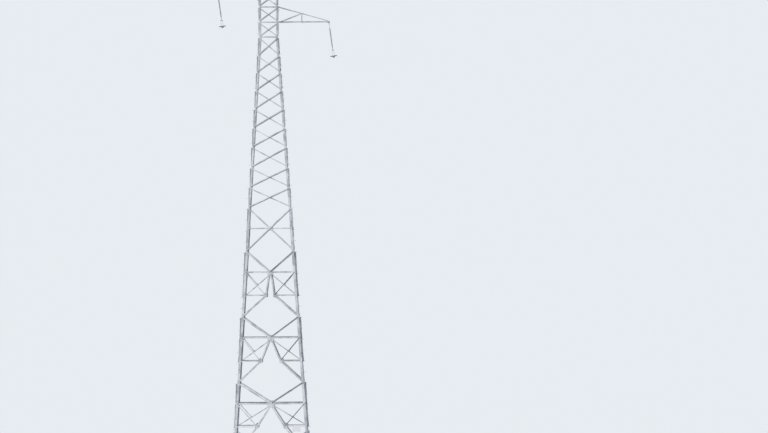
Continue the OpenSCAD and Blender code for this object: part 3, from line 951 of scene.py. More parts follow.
@dataclass
class LowerBracingBolts:
    """Bolts of one face's cranked panels and tall X, where each bar meets its plates and legs.

    Each pair is the places of two bolts on a bar's middle line, from the node that it starts at.
    """

    plan: TowerPlan
    index: int
    leg_pair: Point = (0.0, 0.06)
    foot_pair: Point = (0.010, 0.070)
    knee_pair: Point = (0.057, 0.112)
    steep_pair: Point = (0.085, 0.14)
    level_pair: Point = (0.022, 0.15)
    light_pair: Point = (0.0, 0.05)
    low_pair: Point = (0.065, 0.115)
    upper_pair: Point = (0.072, 0.112)
    meeting_pair: Point = (-0.035, 0.035)
    tall_level_pair: Point = (0.145, 0.175)
    foot_meeting_pair: Point = (-0.03, 0.03)
    centre_rise: float = 0.07
    centre_step: float = 0.05
    half_step: float = 0.053
    foot_first: float = 0.035
    tall_first: float = 0.06
    knee_level_first: float = 0.125
    long_drop: float = 0.02
    long_rise: float = 0.015
    half_drop: float = 0.05
    foot_share: float = 0.47
    foot_upper_drop: float = 0.39
    foot_level_drop: float = 0.095

    def __post_init__(self) -> None:
        """Starts the face's set of bolts."""
        self.face = BodyFace(self.plan, self.index)
        self.bolts = BoltSet(f"{FACES[self.index]}_lower_bolts", self.index)

    def inner(self, bar: Bar, p: Vector, q: Vector, *distances: float) -> None:
        """Bolts a bar to the inner side of a flange or plate, in a row from p towards q."""
        thickness, size = getattr(self.plan, bar.value[0]), bar.value[1]
        self.bolts.add(self.face.matrix, along(p, q, *distances), 0.0,
                       -self.plan.leg_thickness - thickness, size)

    def outer(self, bar: Bar, p: Vector, q: Vector, *distances: float) -> None:
        """Bolts a bar to the outer side of a flange or plate, in a row from p towards q."""
        thickness, size = getattr(self.plan, bar.value[0]), bar.value[1]
        self.bolts.add(self.face.matrix, along(p, q, *distances), thickness,
                       -self.plan.leg_thickness, size)

    def half_panel(self, side: int, panel: CrankedPanel, lower_node: float) -> None:
        """Adds the bolts of one half of a cranked panel.

        Args:
            side: -1 for the left half and 1 for the right one.
            panel: The panel.
            lower_node: Height of the leg point that its outward bar runs to.
        """
        plan, face, gauge = self.plan, self.face, self.plan.gauge
        knee, centre = face.point(side * panel.knee_x, panel.knee), face.point(0, panel.centre)
        top = face.leg(side, panel.leg - plan.cranked_offset, gauge)
        steep = face.point(side * panel.steep_x, panel.centre - panel.steep_drop)
        foot = face.leg(side, lower_node, gauge)
        clear = self.centre_rise / (top - centre).normalized().y
        self.outer(Bar.MAIN, top, centre, *self.leg_pair)
        self.outer(Bar.MAIN, centre, top, clear, clear + self.centre_step)
        self.inner(Bar.MAIN, knee, steep, *self.knee_pair)
        self.inner(Bar.MAIN, knee, foot, *self.knee_pair)
        self.inner(Bar.MAIN, foot, knee, *self.foot_pair)
        level = face.leg(side, panel.knee, gauge)
        self.inner(Bar.LIGHT, knee, level, self.knee_level_first)
        self.inner(Bar.LIGHT, level, knee, *self.light_pair)
        high = face.leg(side, panel.centre - self.long_drop, gauge)
        low = knee + Vector((0, self.long_rise))
        self.outer(Bar.LIGHT, high, low, *self.light_pair)
        if self.index == 0:
            self.outer(Bar.LIGHT, low, high, *self.low_pair)
            self.inner(Bar.MAIN, steep, knee, *self.steep_pair)
            return
        start = face.point(0, panel.centre - panel.light_drop)
        end = face.leg(side, panel.knee - self.half_drop, gauge)
        meet = crossing(high, low, start, end)
        self.outer(Bar.LIGHT, meet, high, *self.upper_pair)
        self.outer(Bar.LIGHT, meet, end, *self.meeting_pair)
        self.outer(Bar.LIGHT, end, start, *self.light_pair)
        shared = (crossing(start, end, steep, knee) - start).length
        pair = along(start, end, shared, shared + self.half_step)
        self.bolts.add(face.matrix, pair, plan.light_thickness,
                       -plan.leg_thickness - plan.main_thickness, BoltSize.M20)

    def foot_lights(self, side: int) -> None:
        """Adds the bolts of the light bars between the lowest knee and the foot.

        Args:
            side: -1 for the left half and 1 for the right one.
        """
        plan, face, panel = self.plan, self.face, self.plan.panels[0]
        knee = face.point(side * panel.knee_x, panel.knee)
        foot = face.leg(side, plan.foot_height, plan.gauge)
        meet = knee + (foot - knee) * self.foot_share
        upper = face.leg(side, panel.knee - self.foot_upper_drop, plan.gauge)
        beside = face.leg(side, meet.y * math.cos(plan.lean) - self.foot_level_drop, plan.gauge)
        for leg, bar in ((upper, meet), (beside, meet - Vector((0, self.foot_level_drop)))):
            self.outer(Bar.LIGHT, leg, bar, *self.light_pair)
            self.outer(Bar.LIGHT, bar, leg, self.foot_first)
        self.inner(Bar.MAIN, meet, knee, *self.foot_meeting_pair)

    def tall_cross(self) -> None:
        """Adds the bolts of the tall X and its horizontal."""
        plan, face = self.plan, self.face
        rows = ((plan.panels[2].leg + plan.node_offset, plan.gauge),
                (plan.tall_node - plan.node_offset, plan.upper_gauge))
        a, b, c, d = [face.leg(side, z, gauge) for z, gauge in rows for side in SIDES]
        middle = crossing(a, d, b, c)
        for bolt, end in ((self.outer, a), (self.outer, d), (self.inner, b), (self.inner, c)):
            bolt(Bar.TALL, end, middle, *self.light_pair)
            bolt(Bar.TALL, middle, end, self.tall_first)
        for side in SIDES:
            leg = face.leg(side, middle.y * math.cos(plan.lean), plan.upper_gauge)
            self.inner(Bar.TALL_LEVEL, middle, leg, *self.tall_level_pair)
            self.inner(Bar.TALL_LEVEL, leg, middle, *self.light_pair)

    def build(self) -> Piece:
        """Makes the piece with all bolts of the face's lower part.

        Returns:
            The piece.
        """
        plan = self.plan
        for i, panel in enumerate(plan.panels):
            lower = plan.panels[i - 1].leg + plan.cranked_offset if i else plan.foot_height
            for side in SIDES:
                self.half_panel(side, panel, lower)
            middle = self.face.point(0, panel.centre)
            for side in SIDES:
                end = self.face.leg(side, panel.centre, plan.gauge)
                self.inner(Bar.MAIN, end, middle, *self.leg_pair)
                self.inner(Bar.MAIN, middle, end, *self.level_pair)
        for side in SIDES:
            self.foot_lights(side)
        self.tall_cross()
        return self.bolts.build()


@dataclass(frozen=True)
class CrossPanelBolts:
    """Bolts of the plain X panels of one face, above the tall X or in the head."""

    plan: TowerPlan
    index: int
    spacing: float = 0.045

    def panel(self, bolts: BoltSet, matrix: Matrix, corners: Sequence[Vector], leg: float,
              bar: float, size: BoltSize) -> None:
        """Adds the bolts of one X panel.

        Args:
            bolts: The set that takes them.
            matrix: The face's frame.
            corners: Left and right ends below, then above.
            leg: Thickness of the legs.
            bar: Thickness of the bars.
            size: Size of the bolts.
        """
        a, b, c, d = corners
        for p, q, outside, inside in ((a, d, bar, -leg), (b, c, 0.0, -leg - bar)):
            points = along(p, q, 0.0, self.spacing) + along(q, p, 0.0, self.spacing)
            bolts.add(matrix, points, outside, inside, size)
        bolts.add(matrix, [crossing(a, d, b, c)], bar, -leg - bar, size)

    def body(self) -> Piece:
        """Makes the piece with the bolts from the tall X to the waist.

        Returns:
            The piece.
        """
        plan, face = self.plan, BodyFace(self.plan, self.index)
        bolts = BoltSet(f"{FACES[self.index]}_upper_bolts", 10 + self.index)
        for low, high in zip(plan.x_nodes, plan.x_nodes[1:]):
            levels = (low + plan.node_offset, high - plan.node_offset)
            corners = [face.leg(side, z, plan.upper_gauge) for z in levels for side in SIDES]
            self.panel(bolts, face.matrix, corners, plan.leg_thickness, plan.body_thickness,
                       BoltSize.M20)
        return bolts.build()

    def head(self) -> Piece:
        """Makes the piece with the bolts of the head's face.

        Returns:
            The piece.
        """
        plan, matrix = self.plan, self.plan.face(self.index, self.plan.head_half)
        bolts = BoltSet(f"{FACES[self.index]}_head_bolts", 20 + self.index)
        x = plan.head_half - plan.head_gauge
        leg, bar = plan.head_leg_thickness, plan.head_thickness
        for i in range(plan.head_panels):
            low = plan.waist + i * plan.head_panel + plan.head_node_offset
            high = low + plan.head_panel - 2 * plan.head_node_offset
            corners = [Vector((side * x, z)) for z in (low, high) for side in SIDES]
            self.panel(bolts, matrix, corners, leg, bar, BoltSize.M16)
        for z in plan.head_levels:
            ends = [Vector((side * s, z)) for side in SIDES for s in (x, x - self.spacing)]
            bolts.add(matrix, ends, 0.0, -leg - bar)
        return bolts.build()


@dataclass(frozen=True)
class SpliceBolts:
    """Two staggered rows of bolts through each splice of the legs."""

    plan: TowerPlan
    first_row: tuple[float, ...] = (-0.265, -0.175, -0.085, 0.085, 0.175, 0.265)
    second_row: tuple[float, ...] = (-0.22, -0.13, -0.04, 0.04, 0.13, 0.22)
    edge: float = 0.038
    bar_drop: float = 0.23
    bar_clear: float = 0.07

    def build(self) -> Piece:
        """Makes the piece with the bolts of all splices.

        Returns:
            The piece.
        """
        plan = self.plan
        bolts = BoltSet("splice_bolts", 31)
        for k in range(4):
            face = BodyFace(plan, k)
            for side in SIDES:
                for z in plan.splices:
                    bolts.add(face.matrix, self.places(face, side, z), plan.splice_thickness,
                              -plan.leg_thickness, BoltSize.M24)
        return bolts.build()

    def places(self, face: BodyFace, side: int, z: float) -> Iterator[Vector]:
        """Places of one splice's bolts, clear of the bar that ends on the middle splice.

        Args:
            face: The face.
            side: -1 for the left leg and 1 for the right one.
            z: Height of the splice.

        Yields:
            The points in the face's x and v.
        """
        middle = self.plan.splices[1]
        flange = self.plan.leg_flange if z < middle else self.plan.upper_leg_flange
        for row, inset in ((self.first_row, self.edge), (self.second_row, flange - self.edge)):
            for rise in row:
                if z != middle or abs(rise + self.bar_drop) > self.bar_clear:
                    yield face.leg(side, z + rise, inset)


@dataclass(frozen=True)
class StepBolts:
    """Climbing bolts up two opposite legs, by turns on their two flanges."""

    plan: TowerPlan
    pitch: float = 0.77
    reach: float = 0.165
    radius: float = 0.008
    inset: float = 0.03
    head_inset: float = 0.022
    splice_half: float = 0.33
    plate_half: float = 0.065
    over_plate: float = 0.12
    top_clear: float = 0.5
    body_end: float = 0.1
    waist_clear: float = 0.08
    starts: tuple[tuple[int, float], ...] = ((0, 2.64), (2, 2.74))

    def bolt(self) -> Shape:
        """One climbing bolt: a rod with a round end, a nut and a washer, up the z axis.

        Returns:
            The shape.
        """
        shape = Shape()
        shape.turned([(0.019, -0.0004), (0.019, 0.003)], 12)
        shape.turned([(0.012, 0.0027), (0.012, 0.013), (0.0105, 0.0155)], 6, flats=True)
        r, end = self.radius, self.reach
        shape.turned([(r, 0.015), (r, end - 0.012), (0.013, end - 0.010), (0.0165, end - 0.006),
                      (0.0165, end - 0.003), (0.012, end)], 12)
        return shape

    def flange(self, shape: Shape, face_index: int, side: int, start: float,
               plates: bool) -> int:
        """Adds the bolts of one flange, from its start to the top.

        Args:
            shape: The shape that takes them.
            face_index: The face that the flange lies in.
            side: -1 for the face's left leg and 1 for its right one.
            start: Height of the lowest bolt.
            plates: Whether root plates of the arms may lie on this face.

        Returns:
            The number of bolts.
        """
        plan, body = self.plan, BodyFace(self.plan, face_index)
        bolt, nut = self.bolt(), BoltSize.M16.end(nut=True)
        count, z = 0, start
        while z < plan.head_top - self.top_clear:
            if z < plan.waist - self.body_end:
                matrix, point = body.matrix, body.leg(side, z, self.inset)
                on_splice = any(abs(z - s) < self.splice_half for s in plan.splices)
                outside, inside = plan.splice_thickness * on_splice, -plan.leg_thickness
            else:
                blocked = plates and any(abs(z - b) < self.plate_half for b in plan.arm_levels)
                matrix = plan.face(face_index, plan.head_half)
                point = Vector((side * (plan.head_half - self.head_inset),
                                z + self.over_plate if blocked else z))
                outside, inside = 0.0, -plan.head_leg_thickness
            if abs(z - plan.waist) > self.waist_clear:
                shape.add(bolt, matrix @ shift(point.x, point.y, outside))
                shape.add(nut, matrix @ shift(point.x, point.y, inside) @ OVER)
                count += 1
            z += self.pitch
        return count

    def build(self) -> list[Piece]:
        """Makes one piece for each climbed leg.

        Returns:
            The two pieces.
        """
        made = []
        for (leg, start), name in zip(self.starts, ("front_left", "back_right")):
            shape = Shape()
            count = self.flange(shape, (leg + 3) % 4, 1, start, plates=leg % 2 == 1)
            count += self.flange(shape, leg, -1, start + self.pitch / 2, plates=leg % 2 == 0)
            LOG.info("step_bolts_%s: %d bolts", name, count)
            made.append(shape.piece(f"step_bolts_{name}", FIXING_STEEL, smooth=30))
        return made


@dataclass(frozen=True)
class BaseFixings:
    """What holds the legs on their footings: anchor bolts, grout and weld seams."""

    plan: TowerPlan
    bolt_offset: float = 0.13
    thread: float = 0.018
    flats: float = 0.0275
    washer: float = 0.036
    grout_width: float = 0.024
    grout_sway: float = 0.002
    fillet: float = 0.008
    ripple: float = 0.006

    def corners(self) -> Iterator[Matrix]:
        """The frame of each footing's top, with x and y inward along its faces.

        Yields:
            One frame for each footing, from the front left one round.
        """
        for k, name in enumerate(("front_left", "front_right", "back_right", "back_left")):
            middle = underside(f"footing_{name}")
            yield shift(middle.x, middle.y, self.plan.footing_height) @ spin(math.radians(90 * k))

    def anchor(self) -> Shape:
        """One anchor bolt: a square washer, two nuts and the thread's end.

        Returns:
            The shape.
        """
        shape, w, r = Shape(), self.washer, self.thread
        shape.block((-w, -w, -0.0004), (w, w, 0.010), 0.002)
        for low, edge, top in ((0.0095, 0.034, 0.0385), (0.0395, 0.054, 0.0575)):
            shape.turned([(self.flats, low), (self.flats, edge), (self.flats * 0.88, top)], 6,
                         flats=True)
        shape.turned([(r * 0.93, 0.036), (r * 0.93, 0.042), (r, 0.056), (r, 0.088),
                      (r * 0.8, 0.0915)], 16)
        return shape

    def grout(self) -> Shape:
        """A sloped bed of mortar round a base plate.

        Returns:
            The shape.
        """
        shape, half = Shape(), self.plan.base_plate / 2
        inner, outer = half - 0.002, half + self.grout_width
        square = ((-1, -1), (1, -1), (1, 1), (-1, 1))
        steps = ((outer, -0.002), (outer - 0.003, 0.004), (inner + 0.008, 0.011), (inner, 0.012),
                 (inner, -0.002))
        rings = []
        for size, z in steps:
            ring = []
            for (x0, y0), (x1, y1) in zip(square, square[1:] + square[:1]):
                for t in (0.0, 0.25, 0.5, 0.75):
                    wave = math.sin(37 * (x0 + 2 * t) + 11 * y0) if size > inner else 0.0
                    reach = size + self.grout_sway * wave
                    ring.append(((x0 + (x1 - x0) * t) * reach, (y0 + (y1 - y0) * t) * reach, z))
            rings.append(shape.ring(ring))
        shape.skin(rings, closed=True)
        return shape

    def seam(self, start: Vector, end: Vector, out: Vector) -> Shape:
        """A fillet weld with ripples, between a level face and an upright one.

        Args:
            start: Its start on the edge where the two faces meet.
            end: Its end.
            out: Direction of the level face from that edge.

        Returns:
            The shape.
        """
        shape, up = Shape(), Vector((0, 0, 1))
        steps = max(4, int((end - start).length / self.ripple))
        rings = []
        for i in range(steps + 1):
            p = start + (end - start) * (i / steps)
            size = self.fillet * (1.0 + 0.10 * (i % 2)) * (0.5 if i in (0, steps) else 1.0)
            rings.append(shape.ring([p - up * 0.001 - out * 0.001, p + out * size - up * 0.001,
                                     p + (out + up) * size * 0.62, p + up * size - out * 0.001]))
        shape.skin(rings)
        return shape

    def seams(self) -> Shape:
        """The weld seams of one foot, in its corner's frame: the leg's heel lies outward.

        Returns:
            The shape.
        """
        plan, shape = self.plan, Shape()
        heel = plan.half(plan.footing_height) - (plan.axis - underside("footing_front_left")).x
        tip, face = plan.leg_flange - heel, plan.leg_thickness - heel
        pairs = (((-heel, -heel), (tip, -heel), (0, -1)), ((face, face), (tip, face), (0, 1)))
        for order in (1, -1):
            for a, b, out in pairs:
                start, end = (Vector((*p[::order], plan.base_plate_thickness)) for p in (a, b))
                shape.add(self.seam(start, end, Vector((*out[::order], 0))), Matrix())
        return shape

    def build(self) -> list[Piece]:
        """Makes the three pieces.

        Returns:
            Anchor bolts, grout and weld seams.
        """
        anchors, grout, seams = Shape(), Shape(), Shape()
        anchor, bed, welds = self.anchor(), self.grout(), self.seams()
        for k, corner in enumerate(self.corners()):
            for sx in SIDES:
                for sy in SIDES:
                    at = shift(sx * self.bolt_offset, sy * self.bolt_offset,
                               self.plan.base_plate_thickness)
                    anchors.add(anchor, corner @ at @ spin(0.02 * sx * sy + 0.01 * k))
            grout.add(bed, corner)
            seams.add(welds, corner)
        return [anchors.piece("anchor_bolts", FIXING_STEEL, smooth=30),
                grout.piece("footing_grout", CONCRETE),
                seams.piece("base_weld_seams", STEEL, smooth=40)]


# Arms and beam


@dataclass(frozen=True)
class Arm:
    """One arm: its side, its length from the head, and its level in the head's panels."""

    plan: TowerPlan
    name: str
    side: int
    length: float
    level: int

    @property
    def height(self) -> float:
        """Height of the lower chords."""
        return self.plan.waist + self.level * self.plan.head_panel


@dataclass(frozen=True)
class ArmBolts(Arm):
    """Bolts of one arm: its root plates, posts, braces and tip."""

    tip_half: float = 0.052
    chord: float = 0.08
    chord_thickness: float = 0.008
    tie_thickness: float = 0.006
    plate_thickness: float = 0.010
    tip_plate_thickness: float = 0.012
    heel: float = 0.008
    tip_end: Point = (0.04, 0.055)
    post_share: float = 0.47
    root_columns: Point = (-0.075, -0.03)
    root_rows: Point = (-0.02, 0.02)
    chord_bolts: Point = (0.05, 0.1)
    post_bolts: Point = (-0.012, 0.028)
    brace_foot: Point = (0.15, 0.0)
    brace_first: float = 0.015
    end_bolt: Point = (0.05, 0.034)
    cross_gauge: float = 0.045
    tip_rows: tuple[float, ...] = (0.155, 0.105, 0.055)
    tip_inset: float = 0.03

    def build(self) -> Piece:
        """Makes the piece with all bolts of the arm.

        Returns:
            The piece.
        """
        plan, half = self.plan, self.plan.head_half
        bolts = BoltSet(f"{self.name}_arm_bolts", 40 + self.level)
        turn = math.atan((half - self.tip_half) / self.length)
        reach = self.length / math.cos(turn)
        post = self.post_share * reach
        top, end = Vector((0, plan.head_panel)), Vector((reach - self.tip_end[0], self.tip_end[1]))
        slope = (end - top).normalized()
        post_top = top + slope * (post / slope.x)
        chord, tie, plate = self.chord_thickness, self.tie_thickness, self.plate_thickness
        for mirror in (1, -1):
            across = Matrix.Diagonal((self.side, mirror, 1, 1))
            base = Matrix.Translation(plan.axis) @ shift(0, 0, self.height) @ across
            root = base @ shift(half, -half, 0) @ UPRIGHT
            for y in (0.0, plan.head_panel):
                leg = [Vector((x, y + d)) for x in self.root_columns for d in self.root_rows]
                bolts.add(root, leg, plate, -plan.head_leg_thickness - plan.head_thickness)
            for x in self.chord_bolts:
                back = x * math.tan(turn)
                bolts.add(root, [Vector((x, 0.0))], plate, -back, BoltSize.M20)
                bolts.add(root, [Vector((x, plan.head_panel + slope.y / slope.x * x))], plate,
                          0.002 - back)
            side = base @ shift(half, -half - self.heel, 0) @ spin(turn) @ UPRIGHT
            bolts.add(side, [Vector((post, rise)) for rise in self.post_bolts], tie, -chord)
            bolts.add(side, [post_top], tie, -tie)
            brace = along(Vector(self.brace_foot), post_top, self.brace_first)
            bolts.add(side, brace, tie, -chord)
            back, rise = self.end_bolt
            bolts.add(side, [Vector((reach - back, rise))], 0.0, -chord - tie)
            self.level_bolts(bolts, base, post * math.cos(turn), turn)
        return bolts.build()

    def level_bolts(self, bolts: BoltSet, base: Matrix, post: float, turn: float) -> None:
        """Adds the upright bolts of the cross bar and the tip plate.

        Args:
            bolts: The set that takes them.
            base: Frame of the arm's root on one side.
            post: Distance of the post from the root.
            turn: Angle of the arm's side from its middle line.
        """
        half, under, chord = self.plan.head_half, -self.chord / 2, self.chord_thickness
        edge = half + self.heel - post * math.tan(turn)
        bolts.add(base, [Vector((half + post, -(edge - self.cross_gauge)))],
                  under + chord + self.tie_thickness - 0.001, under)
        plate = [Vector((half + self.length - s, self.tip_inset + s * math.tan(turn)))
                 for s in self.tip_rows]
        bolts.add(base @ OVER, plate, -under + self.tip_plate_thickness, -under - chord)


@dataclass(frozen=True)
class BeamFixings:
    """Bolts and cleats that hold the earth wire's beam on the flat top."""

    plan: TowerPlan
    web: float = 0.008
    gauge: float = 0.018
    cleat: float = 0.055
    thickness: float = 0.006
    half_width: float = 0.04
    bevel: float = 0.001

    def build(self) -> list[Piece]:
        """Makes the two pieces.

        Returns:
            Bolts and cleats.
        """
        plan, leg, t = self.plan, self.cleat, self.thickness
        bolts, cleats = BoltSet("earth_wire_beam_bolts", 61), Shape()
        top = Matrix.Translation(plan.axis) @ shift(0, 0, plan.head_top)
        inner = plan.head_half - plan.head_leg_thickness - plan.head_thickness
        for side in SIDES:
            points = [Vector((side * (inner - 0.03), y)) for y in (-self.gauge, self.gauge)]
            bolts.add(top, points, self.web, -t)
            for depth, w, low_z, high_z in ((leg, self.half_width, -t, 0.0),
                                            (t, self.half_width - 0.002, -leg, 0.002 - t)):
                low, high = sorted((side * inner, side * (inner - depth)))
                plate = Shape()
                plate.block((low, -w, low_z), (high, w, high_z), self.bevel)
                cleats.add(plate, top)
        return [bolts.build(), cleats.piece("earth_wire_beam_cleats", STEEL)]


@dataclass(frozen=True)
class LevelFrameBolts:
    """Bolts that hold the level frames of the body to the horizontals of two faces."""

    plan: TowerPlan
    first: float = 0.04
    bar_gap: float = 0.045
    bolt_depth: float = 0.03

    def build(self) -> Piece:
        """Makes the piece.

        Returns:
            The piece.
        """
        plan, flange = self.plan, self.plan.main_flange
        rise, run = math.cos(plan.lean), math.sin(plan.lean)
        depth, out = plan.leg_thickness + self.bar_gap, self.first * 0.707
        bolts = BoltSet("level_frame_bolts", 51)
        for panel in plan.panels:
            edge = -(plan.half(panel.centre) - depth)
            under = (panel.centre + (flange / 2 - plan.main_thickness) * rise
                     - (plan.leg_thickness + flange) * run)
            over = panel.centre + flange / 2 * rise - (depth + self.bolt_depth) * run
            points = [Vector((side * out, edge + out)) for side in SIDES]
            for quarter in (0, 2):
                frame_at = Matrix.Translation(plan.axis) @ spin(math.radians(90 * quarter))
                bolts.add(frame_at, points, over, under - 0.0002 - plan.light_thickness)
        return bolts.build()


@dataclass(frozen=True)
class SignFixings:
    """Rolled rim and four bolts of the bare sign plate."""

    plan: TowerPlan
    width: float = 0.54
    height: float = 0.39
    thickness: float = 0.003
    offset: float = 0.04
    top_rise: float = 0.022
    bolt_edge: Point = (0.035, 0.03)
    rim_edge: float = 0.004
    corner: float = 0.012
    wire: float = 0.0025

    def build(self) -> list[Piece]:
        """Makes the two pieces.

        Returns:
            Bolts and rim.
        """
        plan, face, panel = self.plan, BodyFace(self.plan, 0), self.plan.panels[0]
        x = (panel.knee_x + plan.half(panel.knee)) / 2 + self.offset
        top = face.point(x, panel.knee).y + self.top_rise
        middle = Vector((x, top - self.height / 2))
        front, leg = self.thickness - plan.leg_thickness, plan.leg_thickness
        bolts, rim, path = BoltSet("sign_plate_bolts", 71), Shape(), []
        rows = ((top - self.bolt_edge[1], -leg - plan.light_thickness),
                (top - self.height + self.bolt_edge[1], -leg))
        for y, inside in rows:
            points = [Vector((x + s * (self.width / 2 - self.bolt_edge[0]), y)) for s in SIDES]
            bolts.add(face.matrix, points, front, inside, BoltSize.M12)
        w, h, r = self.width / 2 - self.rim_edge, self.height / 2 - self.rim_edge, self.corner
        for sx, sy, start in ((1, 1, 0), (-1, 1, 90), (-1, -1, 180), (1, -1, 270)):
            for step in range(5):
                a = math.radians(start + step * 22.5)
                path.append(Vector((middle.x + sx * (w - r) + r * math.cos(a),
                                    middle.y + sy * (h - r) + r * math.sin(a), front)))
        rim.tube(path, self.wire, 6, closed=True)
        placed = Shape()
        placed.add(rim, face.matrix)
        return [bolts.build(), placed.piece("sign_plate_rim", ENAMEL, smooth=60)]


# Insulator strings


@dataclass(frozen=True)
class StringFixings(Arm):
    """Sheds, collars, pins and clamp bolts of the insulator string at one arm's tip."""

    lean: float = math.radians(7.5)
    pin_drop: float = 0.097
    shackle: float = 0.134
    pin_reach: float = 0.034
    pin_wire: float = 0.0018
    rod_top: float = 0.36
    insulator: float = 1.31
    sheds: int = 22
    large: float = 0.065
    small: float = 0.05
    core: float = 0.0165
    rim: float = 0.0022
    yoke: float = 0.23
    yoke_pin_drop: float = 0.013
    strap: float = 0.5
    strap_face: float = 0.066
    ring_bolts: Point = (0.045, 0.095)
    clamp_body: float = 0.048
    u_places: tuple[float, ...] = (-0.085, -0.048, 0.048, 0.085)
    u_half: float = 0.0215
    u_bend: float = 0.014
    u_radius: float = 0.0055
    keeper: float = 0.0155
    collar: tuple[Point, ...] = (
        (0.0200, -0.006), (0.0262, 0.0), (0.0262, 0.010), (0.0248, 0.012), (0.0248, 0.020),
        (0.0262, 0.022), (0.0262, 0.030), (0.0248, 0.032), (0.0248, 0.040), (0.0242, 0.046))

    @property
    def matrix(self) -> Matrix:
        """The string's frame: the upper pin at the origin and the string down the z axis.

        Returns:
            The way from the string's frame to the pylon's.
        """
        tip = self.side * (self.plan.head_half + self.length)
        pin = self.plan.axis + Vector((tip, 0, self.height - self.pin_drop))
        return Matrix.Translation(pin) @ spin(-self.lean, "Y")

    @property
    def rod_bottom(self) -> float:
        """Height of the insulator's lower end."""
        return -self.rod_top - self.insulator

    @property
    def groove(self) -> float:
        """Distance from the upper pin down to the conductor's groove."""
        return self.rod_top + self.insulator + self.yoke + self.strap

    def hung(self, shape: Shape, what: str, finish: Finish = FIXING_STEEL, smooth: float = 40,
             body: str = "string") -> Piece:
        """Makes a piece of a shape that is drawn in the string's frame.

        Args:
            shape: The shape.
            what: Name of the piece, after the arm's.
            finish: Its finish.
            smooth: Edges flatter than this many degrees are shaded smooth.
            body: Body that it rides on, after the arm's name.

        Returns:
            The new object.
        """
        placed = Shape()
        placed.add(shape, self.matrix)
        return placed.piece(f"{self.name}_{what}", finish, smooth, f"{self.name}_{body}")

    def shed(self, z: float, radius: float) -> list[Point]:
        """Profile of one shed, thin at its rounded rim and thick at the core.

        Args:
            z: Height of its underside at the core.
            radius: Its radius.

        Returns:
            Radius and height of each ring.
        """
        core, rim = self.core, self.rim
        arc = [(radius - rim + rim * math.cos(a), z + 0.0050 + rim * math.sin(a))
               for a in (-1.3, -0.6, 0.1, 0.8, 1.5)]
        return [(core, z), (core + 0.006, z + 0.0016), (radius * 0.7, z + 0.0020), *arc,
                (radius * 0.62, z + 0.0100), (core + 0.009, z + 0.0135), (core + 0.002, z + 0.0165),
                (core, z + 0.018)]

    def rod(self) -> Piece:
        """The rod with its sheds, large and small by turns, in place of the plain solid.

        Returns:
            The piece.
        """
        pitch = self.insulator / self.sheds
        profile: list[Point] = [(self.core, self.rod_bottom)]
        for i in range(self.sheds):
            base = self.rod_bottom + i * pitch
            profile += self.shed(base + pitch * 0.18, self.large)
            profile += self.shed(base + pitch * 0.62, self.small)
        profile.append((self.core, -self.rod_top))
        shape = Shape()
        shape.turned(profile, 36)
        made = self.hung(shape, "sheds", RUBBER, 50)
        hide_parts(f"{self.name}_insulator")
        return made

    def collars(self) -> Piece:
        """Crimped collars and seals on the rod's two end fittings.

        Returns:
            The piece.
        """
        shape = Shape()
        for z, way in ((-self.rod_top, 1), (self.rod_bottom, -1)):
            profile = [(radius, z + way * height) for radius, height in self.collar]
            shape.turned(profile[::way], 24)
        return self.hung(shape, "end_collars")

    def pin_end(self, origin: Vector, way: Vector) -> Shape:
        """The end of a pin beyond its nut, and the split pin through it: an eye and spread legs.

        Args:
            origin: Middle of the pin.
            way: Direction of the pin.

        Returns:
            The shape.
        """
        shape, down, wire, reach = Shape(), Vector((0, 0, -1)), self.pin_wire, self.pin_reach
        start, end = origin + way * (reach - 0.002), origin + way * (reach + 0.012)
        shape.tube([start, end - way * 0.0015], 0.009, 12)
        shape.tube([end - way * 0.0016, end], 0.0075, 12)
        hole = origin + way * (reach + 0.005)
        eye = [hole - down * 0.020 + (down * c + way * s) * 0.0055 for c, s in circle(12)]
        shape.tube(eye, wire, 6, closed=True)
        legs = ((-0.015, wire * 0.6), (0.008, wire * 0.6), (0.016, 0.004), (0.022, 0.010))
        for s in SIDES:
            shape.tube([hole + down * drop + way * s * spread for drop, spread in legs], wire, 6)
        return shape

    def pins(self) -> list[Piece]:
        """Pin ends and split pins of the shackle and of the link.

        Returns:
            The two pieces.
        """
        made = []
        for what, body, depth, way in (("shackle_pins", "upper_link", 0.0, Vector((0, 1, 0))),
                                       ("link_pins", "string", self.shackle, Vector((1, 0, 0)))):
            shape = Shape()
            for s in SIDES:
                shape.add(self.pin_end(Vector((0, 0, -depth)), way * s), Matrix())
            made.append(self.hung(shape, what, body=body))
        return made

    def u_bolt(self, y: float, bottom: float) -> Shape:
        """A U bolt round the clamp's body, with its nuts on the keeper.

        Args:
            y: Its place along the groove.
            bottom: Lowest point of its middle line.

        Returns:
            The shape.
        """
        shape, half, bend, top = Shape(), self.u_half, self.u_bend, self.keeper
        left = [Vector((-half, y, top + 0.024)), Vector((-half, y, bottom + bend))]
        for a in (math.radians(degrees) for degrees in (22.5, 45, 67.5, 90)):
            left.append(Vector((-half + bend - bend * math.cos(a), y,
                                bottom + bend - bend * math.sin(a))))
        shape.tube(left + [Vector((-p.x, p.y, p.z)) for p in reversed(left)], self.u_radius, 10)
        nut = Shape()
        nut.turned([(0.014, -0.0003), (0.014, 0.0025)], 12)
        nut.turned([(0.0095, 0.002), (0.0095, 0.012), (0.0082, 0.0135)], 6, flats=True)
        for s in SIDES:
            shape.add(nut, shift(s * half, y, top))
        return shape

